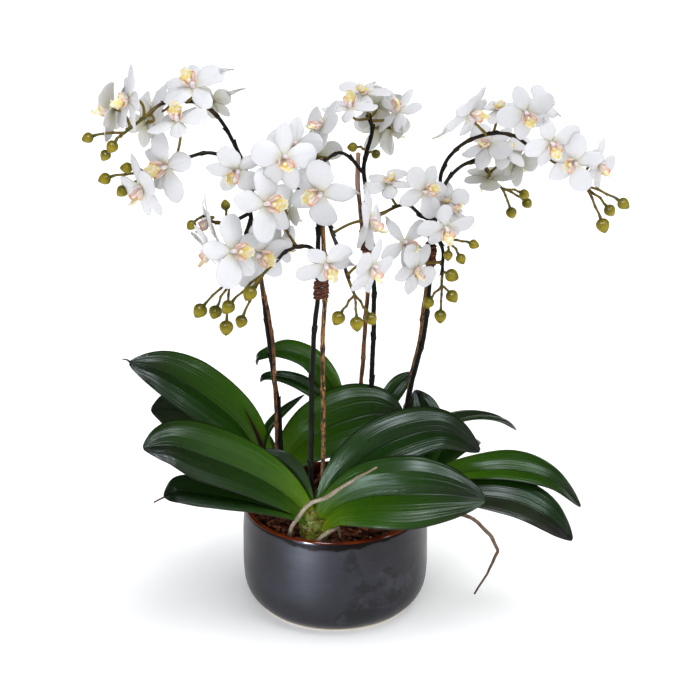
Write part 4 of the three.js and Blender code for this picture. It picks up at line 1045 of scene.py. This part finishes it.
def build_stake(name, materials):
    _, gold, thickness, _ = STAKES[name]
    rng = random.Random("stake " + name)
    shape = Shape()
    line, run = smooth_path(stake_path(name), 2)
    share = run / run[-1]
    joints = []
    at = rng.uniform(70, 90)
    while at < run[-1] - 12:
        joints.append(at)
        at += rng.uniform(32, 58)
    swell = bells(run, 2.6, *joints)
    radii = STAKE_RADIUS * (0.93 + 0.3 * swell + 0.06 * ripple(rng, 5, run * 0.2)) * thickness
    line = line + 0.4 * wander(rng, run * 0.08)
    z = line[:, 2]
    if name == "back":
        cut = index_of(z, PALE_TOP)
        below, above = slice(cut + 2), slice(cut, None)
        necked = radii * np.interp(z, (PALE_TOP - 6, PALE_TOP), (1, 0.75))
        flared = radii * np.interp(z, (PALE_TOP, PALE_TOP + 6, PALE_TOP + 20), (0.8, 1.25, 1.05))
        tube(shape, line[below], necked[below], 12, along=share[below] * 0.97, tint=gold, squash=grooved)
        tube(shape, line[above], flared[above], 12, along=share[above], tint=gold, squash=grooved, zone=1)
    else:
        tube(shape, line, radii, 12, along=share, tint=gold, squash=grooved)
    direction = tangents(line)
    for k, at in enumerate(joints):
        i = index_of(run, at)
        out = around(direction[i], k * 2.4 + 0.5)
        stub = line[i] + np.outer((1.2, 2.4, 3.3), unit(out + direction[i] * 0.7))
        tube(shape, stub, (1.4, 1.1, 0.8), 8, along=(0.5, 0.6, 1), tint=gold)
    shape.make("twig_" + name, "twig", "stake_" + name, materials)


def loop_point(a, b, turn, margin, z):
    """A point of the band round a stem at a and a stake at b; turn 0 to 1 goes once round both."""
    gap = np.linalg.norm((b - a) * (1, 1, 0))
    axis = unit((b - a) * (1, 1, 0))
    sideways = np.cross(UP, axis)
    far, near = STAKE_RADIUS + margin, STEM_RADIUS + margin
    round_far, over, round_near, whole = np.cumsum([math.pi * far, gap, math.pi * near, gap])
    at = (turn % 1) * whole

    def arc(centre, radius, start, run):
        angle = start + run / radius
        return centre + axis * math.cos(angle) * radius + sideways * math.sin(angle) * radius

    if at < round_far:
        spot = arc(b, far, -math.pi / 2, at)
    elif at < over:
        share = (at - round_far) / gap
        spot = (b + sideways * far) * (1 - share) + (a + sideways * near) * share
    elif at < round_near:
        spot = arc(a, near, math.pi / 2, at - over)
    else:
        share = (at - round_near) / gap
        spot = (a - sideways * near) * (1 - share) + (b - sideways * far) * share
    return vec(spot[0], spot[1], z)


def build_tie(name, materials):
    """A band of raffia wound up round stem and stake, a second one down over it, and the knot's loose ends."""
    rng = random.Random("tie " + name)
    stem, twig = np.array(SPRAYS[name][name], float), stake_path(name)
    height = STAKES[name][0]
    low, high = height - TIE_WIDTH / 2, height + TIE_WIDTH / 2
    shape = Shape()
    for start, end, turns, margin, radius in ((low, high, 8.5, 0.4, 1.15), (high - 4, low + 4, 1.7, 0.8, 0.8)):
        at = np.linspace(0, turns, int(turns * 26))
        swing, stray = ripple(rng, 4, at * 5), ripple(rng, 4, at * 3.1)
        path = []
        for t, out, up in zip(at, swing, stray):
            z = min(max(start + (end - start) * t / turns + 0.9 * up, low + 0.5), high - 0.5)
            path.append(loop_point(at_height(stem, z), at_height(twig, z), t, margin + 0.35 * out, z))
        radii = radius * (1 + 0.18 * ripple(rng, 5, at * 9))
        tube(shape, path, radii, 7, along=at / turns, tint=0.5 + 0.4 * ripple(rng, 3, at * 3))
    if name == "front":
        z = height - 4
        knot = loop_point(at_height(stem, z), at_height(twig, z), 0.25, 3.2, z)
        outward = unit((knot - at_height(stem, z)) * (1, 1, 0))
        for k in range(2):
            bend = [knot, knot + outward * 3 + UP * (2 - 4 * k), knot + outward * 5 + UP * (3 - 9 * k)]
            loose = curve(bend, np.linspace(0, 1, 9))
            tube(shape, loose, np.linspace(1.1, 0.5, 9), 7, along=np.full(9, 0.5))
    shape.make("wraps_" + name, "raffia", "tie_" + name, materials)


# Blooms

def tepal_width(share, widest, opening, full, rounded):
    """Half the width along a petal: a narrow claw that opens into a blade, rounded or a little pointed."""
    tip = np.clip((share - widest) / (1 - widest), 0, 1)
    claw = 0.24 + 0.76 * smoothstep(share, -0.05, widest) ** opening
    return claw * np.maximum(1 - tip ** full, 0) ** rounded


def tepal(shape, put, angle, layer, kind, breadth, size, tail, painted_shade, rng):
    """A petal or sepal: cupped, twisted and creased, with an uneven margin and perhaps a thin tail."""
    t, a = spans(*TEPAL_GRID)
    t = np.minimum(1 - (1 - t) ** 1.5, 0.998)
    length = kind["length"] * rng.uniform(0.97, 1.03)
    half = kind["half"] * breadth * rng.uniform(0.95, 1.03)
    turn = math.radians(angle + rng.uniform(-4, 4))
    cos, sin = math.cos(turn), math.sin(turn)
    width = half * tepal_width(t, *kind["blade"])
    curl, bow = rng.uniform(*kind["curl"]), rng.uniform(0.6, 1.8)
    z = layer * 1.7 * smoothstep(t, 0, 0.4) + bow * np.sin(math.pi * t) + curl * t ** 2.2
    cup = width * rng.uniform(*kind["cup"]) * a ** 2
    twist = width * np.sin(math.radians(rng.uniform(-14, 14)) * t) * a
    crease = 0.5 * window(t, 0.05, 0.2, 0.8, 1) * bells(a, 0.12, 0)
    depth = cup + twist - crease
    outer = smoothstep(t, 0.2, 0.5)
    for sign in (1, -1):
        depth += 0.65 * ripple(rng, 3, t * 8) * outer * np.maximum(a * sign, 0) ** 3
    one, other = (1 + 0.045 * ripple(rng, 4, t * 9) * outer for _ in range(2))
    aside = width * a * np.where(a > 0, one, other)
    run = t * length + 1.2

    def laid(reach, aside, z):
        """The points of the unturned petal, turned and put in their place."""
        return put(reach * cos - aside * sin, reach * sin + aside * cos, z)

    thick = (0.75 + 0.35 * (1 - t) * (1 - a ** 2)) * size
    # The tint greys the petal: painted shade by branch, plus a small random share of its own tone.
    sheet(shape, laid(run, aside, z + depth), thick, t, a, painted_shade + 0.2 * rng.random())
    if tail:
        t, a = spans(*TAIL_GRID)
        spread = (3.2 * (1 - t) ** 1.3 + 0.5) * a + 1.8 * np.sin(3 * t + rng.uniform(0, 3)) * t
        droop = tail / size * 0.25 * t ** 2
        middle = laid(run[-1] - 4 + (tail / size + 4) * t, spread, z[-1] - droop + 0.06 * spread ** 2)
        sheet(shape, middle, 0.9, 1 + t, a * 0.8)


def lip(shape, put, size, rng):
    """The cup of two side lobes, the toothed middle lobe with its two tendrils, and the callus between them."""
    t, a = spans(*CUP_GRID)
    degrees = np.linspace(-222, 42, a.size)
    angles = np.radians(degrees)
    sides = np.abs(np.cos(angles))
    ears = sides ** 0.8 * (np.sin(angles) > -0.93)
    top = (5.2 + 6 * ears * smoothstep(sides, 0.1, 0.8)) * (0.55 + 0.45 * window(degrees, -222, -200, 20, 42))
    flare = t ** 0.75
    curl = 1 - 0.16 * smoothstep(t, 0.7, 1)
    x = np.cos(angles) * (2.2 + 6.6 * flare) * curl
    y = np.sin(angles) * (1.8 + 5 * flare) * curl - 1.2 - 3.2 * flare
    z = 0.5 + (top + 0.3 * ripple(rng, 4, angles * 3)) * t
    sheet(shape, put(x, y, z), 0.6 * size, t, angles / math.pi, 0)

    t, a = spans(*LOBE_GRID)
    teeth = (0, 0.18, 0.36, 0.46, 0.56, 0.72, 0.88, 1), (3.2, 4.2, 6.6, 7.6, 5, 4.2, 3.4, 1.6)
    drop, z = (np.interp(t, (0, 0.3, 0.6, 0.85, 1), values)
               for values in ((-6.2, -8.6, -10.3, -10.4, -9.4), (4.2, 8, 12.4, 16.2, 18.2)))
    rise = 1.8 * window(t, 0.2, 0.46, 0.6, 0.9) + 0.4
    y = drop + rise * np.abs(a) ** 1.6 - 0.5 * bells(a, 0.2, 0)
    sheet(shape, put(np.interp(t, *teeth) * a, y, z), 0.9 * size, t, a, 1)

    t = np.linspace(0, 1, 11)
    for sign in (-1, 1):
        wind = rng.uniform(0.8, 1.3)
        y = -9.4 + 2.2 * np.sin(t * 2.6 * wind) - 2.4 * t
        tendril = put(sign * (1.1 + 3.2 * t ** 1.3), y, 17.6 + 2.6 * t - 2.8 * t ** 2 * wind)
        tube(shape, tendril, np.linspace(0.55, 0.25, 11) * size, 7, along=np.ones(11), tint=1)
    t = np.linspace(0, 1, 7)
    tube(shape, put(0, -4.6 - t, 2.6 + 4.6 * t), np.array([1.6, 2, 2.2, 2.3, 2.1, 1.6, 0.9]) * size, 12,
         along=0.25 + 0.3 * t, tint=0.75, squash=lambda angle, _: 1 + 0.22 * np.cos(2 * angle) ** 2, zone=1)


def column(shape, put, size):
    t = np.linspace(0, 1, 12)
    radii = np.interp(t, (0, 0.25, 0.6, 0.8, 0.93, 1), (1.8, 2, 2.1, 2.3, 1.9, 1)) * size
    tube(shape, put(0, 0.6 + 1.4 * np.sin(t * 2.4), -1.5 + 9.2 * t), radii, 16, along=t, finish=1,
         squash=lambda angle, at: 1 + 0.1 * np.cos(2 * angle) + 0.05 * at * np.cos(3 * angle))


def build_blooms(materials):
    """The petals and the lips of each node's blooms."""
    groups = {}
    for branch, flowers in BLOOMS.items():
        for k, flower in enumerate(flowers):
            key = f"{branch}_{k + 1}"
            groups.setdefault(TOUCHING.get(key, key), []).append((key, PAINTED_SHADE.get(branch, 0), flower))
    for home, members in groups.items():
        petals, lips = Shape(), Shape()
        for key, painted_shade, flower in members:
            rng = random.Random("bloom " + key)
            centre, axes, size, breadth = bloom_frame(*flower)

            def put(x, y, z):
                return centre + np.stack(np.broadcast_arrays(x, y, z), -1) @ axes * size

            for angle, layer, kind in TEPALS:
                tepal(petals, put, angle, layer, kind, breadth, size, TAILS.get((key, angle), 0), painted_shade, rng)
            lip(lips, put, size, rng)
            column(lips, put, size)
        petals.make("petals_" + home, "petal", "bloom_" + home, materials[:1])
        lips.make("lips_" + home, "lip", "bloom_" + home, materials[1:])


# Pot and bark

def build_pot(materials):
    rng = random.Random("pot")
    foot = [(0, 0), (FOOT_RADIUS - 8, 0.9), (FOOT_RADIUS - 5, 0), (FOOT_RADIUS - 1, 0), (FOOT_RADIUS, 0.5),
            (FOOT_RADIUS + 0.6, 2), (FOOT_RADIUS + 2.4, 3.6)]
    belly = [(82.4, 5.6), (84.8, 8), (86.9, 11), (88.8, 14.8), (90.3, 19), (91.4, 24.5), (92.1, 31), (92.4, 38),
             (92.4, 50), (92.3, 62), (92.1, 74)]
    levels = np.arange(84, 100.6, 1.2)
    shoulder = zip(np.interp(levels, (74, 84, 92, 97.5, 100.4), (92.1, 91.7, 91.2, 90.8, 90.5)), levels)
    rim = [(90.3, 102), (89.8, 103.2), (88.9, 103.9), (87.6, 104), (86.4, 103.6), (85.4, 102.6), (84.9, 100.8)]
    inside = [(84.9, 98), (85.1, 94), (85.3, 84), (85.3, 60), (84.6, 36), (83.3, 22), (80, 12), (74, 8.2),
              (60, 8), (0, 8)]
    shift = [phase(rng) for _ in range(6)]

    def wobble(angle, z):
        dents = 0.16 * np.sin(2 * angle + shift[0]) + 0.1 * np.sin(5 * angle + shift[1])
        return dents + 0.08 * math.sin(z * 0.22 + shift[2])

    def run_down(angle):
        """How far the dark glaze of the rim has run down the wall, most of all at the front."""
        front = np.exp(-(((angle - RUN_TURN + math.pi) % TURN - math.pi) / RUN_HALF) ** 8)
        uneven = 0.5 * np.sin(3 * angle + shift[3]) + 0.4 * np.sin(7 * angle + shift[4])
        return 3.4 * front + uneven + (0.2 + 0.6 * front) * np.sin(23 * angle + shift[5])

    shape = Shape()
    turned(shape, [*foot, *belly, *shoulder, *rim, *inside], POT_SEGMENTS, wobble)
    x, y, z = shape.points[0].T
    reach = np.hypot(x, y)
    above = z - RUN_EDGE + run_down(np.arctan2(y, x))
    within = (reach < 86) & (z > 40)
    shape.places[0] = np.column_stack([0.5 + above / 20, within, np.full(len(z), 0.5)])
    for k, face in enumerate(shape.faces):
        corners = list(face)
        if above[corners].mean() > 0 and z[corners].mean() < 101.4 and reach[corners].min() > 87:
            shape.finishes[k] = 1
    shape.make("glazed_pot", "pot_glaze", "pot", materials)


def chip(shape, rng):
    """A flat many-sided piece of bark that lies somewhere on the bed."""
    radius = 82 * math.sqrt(rng.random())
    turn = rng.uniform(0, TURN)
    size = rng.choice(CHIP_SIZES)
    size = min(size, 84 - radius) if radius > 76 else size
    centre = vec(radius * math.cos(turn), radius * math.sin(turn), BARK_LEVEL - 1 + rng.uniform(-0.5, 2.6))
    sides = rng.choice((5, 6, 7))
    tall = size * rng.uniform(0.25, 0.5)
    axis = unit(vec(rng.gauss(0, 0.4), rng.gauss(0, 0.4), 1))
    first = across(axis)
    second = np.cross(axis, first)
    spin = phase(rng)
    points = []
    for level in (-0.5, 0.5):
        for k in range(sides):
            angle = spin + TURN * (k + rng.uniform(-0.25, 0.25)) / sides
            reach = size * rng.uniform(0.35, 0.6)
            flat = first * math.cos(angle) * reach * 1.3 + second * math.sin(angle) * reach * 0.8
            points.append(centre + flat + axis * (level + rng.uniform(-0.15, 0.15)) * tall)
    faces = [tuple(range(sides))[::-1], tuple(range(sides, 2 * sides))]
    faces += [(k, (k + 1) % sides, sides + (k + 1) % sides, sides + k) for k in range(sides)]
    shape.add(points, faces, (0, 0, 0.5), rng.random() ** 1.6)


def build_bark(materials):
    rng = random.Random("bark")
    shape = Shape()
    top = [(r, BARK_LEVEL - 2 + 2.5 * (1 - r / BED_RADIUS)) for r in (BED_RADIUS, *range(80, 0, -8))]
    turned(shape, [(0, BED_FLOOR), (BED_RADIUS, BED_FLOOR), *top, (0, BARK_LEVEL)], BED_SEGMENTS)
    bed = shape.points[0]
    bumps = np.array([rng.uniform(-1.4, 1) for _ in bed])
    raised = bed[:, 2] > BED_FLOOR + 5
    bed[raised, 2] += bumps[raised]
    shape.tints[0] = np.full(len(bed), 0.05)
    for _ in range(CHIPS):
        chip(shape, rng)
    shape.make("bark_chips", "bark", "bark", materials, flat=True)


# Camera, light and floor, in metres

CAMERA = {"place": (0.0147, -1.8396, 1.0516), "target": (0.0147, 0, 0.267), "lens": 106.25, "sensor": 36}
WORLD = {"light": (0.95, 0.97, 1, 1), "strength": 0.6, "seen": (1, 1, 1, 1)}
SUN = {"place": (0.55, 0.12, 1.2), "strength": 2.15, "breadth": 58}
FLOOR_HALF = 20

# Lamps: place, width, height, power, colour, target, whether only reflections show it, and spread
LAMPS = {
    "front": ((-0.3, -2.4, 1.4), 2.2, 1.6, 22, (1, 1, 1), (0, 0, 0.3), False, 180),
    "low": ((-0.38, -0.62, 0.05), 0.08, 0.24, 0.42, (0.72, 0.82, 1), (0, -0.05, 0.045), True, 12),
    "top": ((0.55, -0.6, 1.35), 0.5, 0.4, 20, (0.85, 0.92, 1), (-0.1, 0, 0.2), True, 180),
    "left": ((-0.28, -0.8, 1.45), 0.35, 0.3, 34, (0.85, 0.92, 1), (0, 0, 0.15), True, 180),
    "right": ((1.9, -0.9, 0.9), 0.3, 1.2, 8, (1, 1, 1), (0, 0, 0.2), True, 180),
}


def placed(name, data, spot, target):
    """A new object at a spot that looks at its target."""
    thing = linked(name, data)
    thing.location = spot
    thing.rotation_mode = "QUATERNION"
    thing.rotation_quaternion = (Vector(target) - thing.location).to_track_quat("-Z", "Y")
    return thing


def build_world():
    """Soft light all round that reflections don't show, before a backdrop that the camera sees as white."""
    world = bpy.data.worlds.new("studio")
    bpy.context.scene.world = world
    world.use_nodes = True
    world.cycles_visibility.glossy = False
    nodes, link = world.node_tree.nodes, world.node_tree.links.new
    lit, seen = nodes["Background"], nodes.new("ShaderNodeBackground")
    lit.inputs[0].default_value, lit.inputs[1].default_value = WORLD["light"], WORLD["strength"]
    seen.inputs[0].default_value = WORLD["seen"]
    choice = nodes.new("ShaderNodeMixShader")
    link(nodes.new("ShaderNodeLightPath").outputs["Is Camera Ray"], choice.inputs[0])
    link(lit.outputs[0], choice.inputs[1])
    link(seen.outputs[0], choice.inputs[2])
    link(choice.outputs[0], nodes["World Output"].inputs[0])


def build_studio():
    camera = placed("camera", bpy.data.cameras.new("camera"), CAMERA["place"], CAMERA["target"])
    camera.data.lens, camera.data.sensor_width = CAMERA["lens"], CAMERA["sensor"]
    bpy.context.scene.camera = camera
    bpy.context.scene.view_settings.view_transform = "Standard"
    build_world()

    sun = bpy.data.lights.new("sun", "SUN")
    sun.energy, sun.angle = SUN["strength"], math.radians(SUN["breadth"])
    placed("sun", sun, SUN["place"], (0, 0, 0)).visible_glossy = False
    for name, (spot, wide, tall, power, hue, target, sheen, spread) in LAMPS.items():
        lamp = bpy.data.lights.new(name, "AREA")
        lamp.shape, lamp.size, lamp.size_y = "RECTANGLE", wide, tall
        lamp.energy, lamp.color, lamp.spread = power, hue, math.radians(spread)
        holder = placed(name, lamp, spot, target)
        holder.visible_glossy, holder.visible_diffuse = sheen, not sheen

    corners = [(x * FLOOR_HALF, y * FLOOR_HALF, 0) for x, y in ((-1, -1), (1, -1), (1, 1), (-1, 1))]
    mesh = bpy.data.meshes.new("floor")
    mesh.from_pydata(corners, [], [(0, 1, 2, 3)])
    mesh.materials.append(floor_look())
    linked("floor", mesh)


build_studio()
leaf_finish, sheath_finish, root_finish = leaf_look(), sheath_look(), root_look()
stem_finish, bud_finish, twig_finish, raffia_finish = stem_look(), bud_look(), twig_look(), raffia_look()
build_pot([glaze_look(), run_look()])
build_bark([bark_look()])
for plant in LEAVES:
    build_rosette(plant, [leaf_finish, sheath_finish])
    build_stem(plant, [stem_finish, bud_finish])
    build_stake(plant, [twig_finish])
    build_tie(plant, [raffia_finish])
for strand in ROOTS:
    build_root(strand, [root_finish])
build_blooms([petal_look(), lip_look(), column_look()])
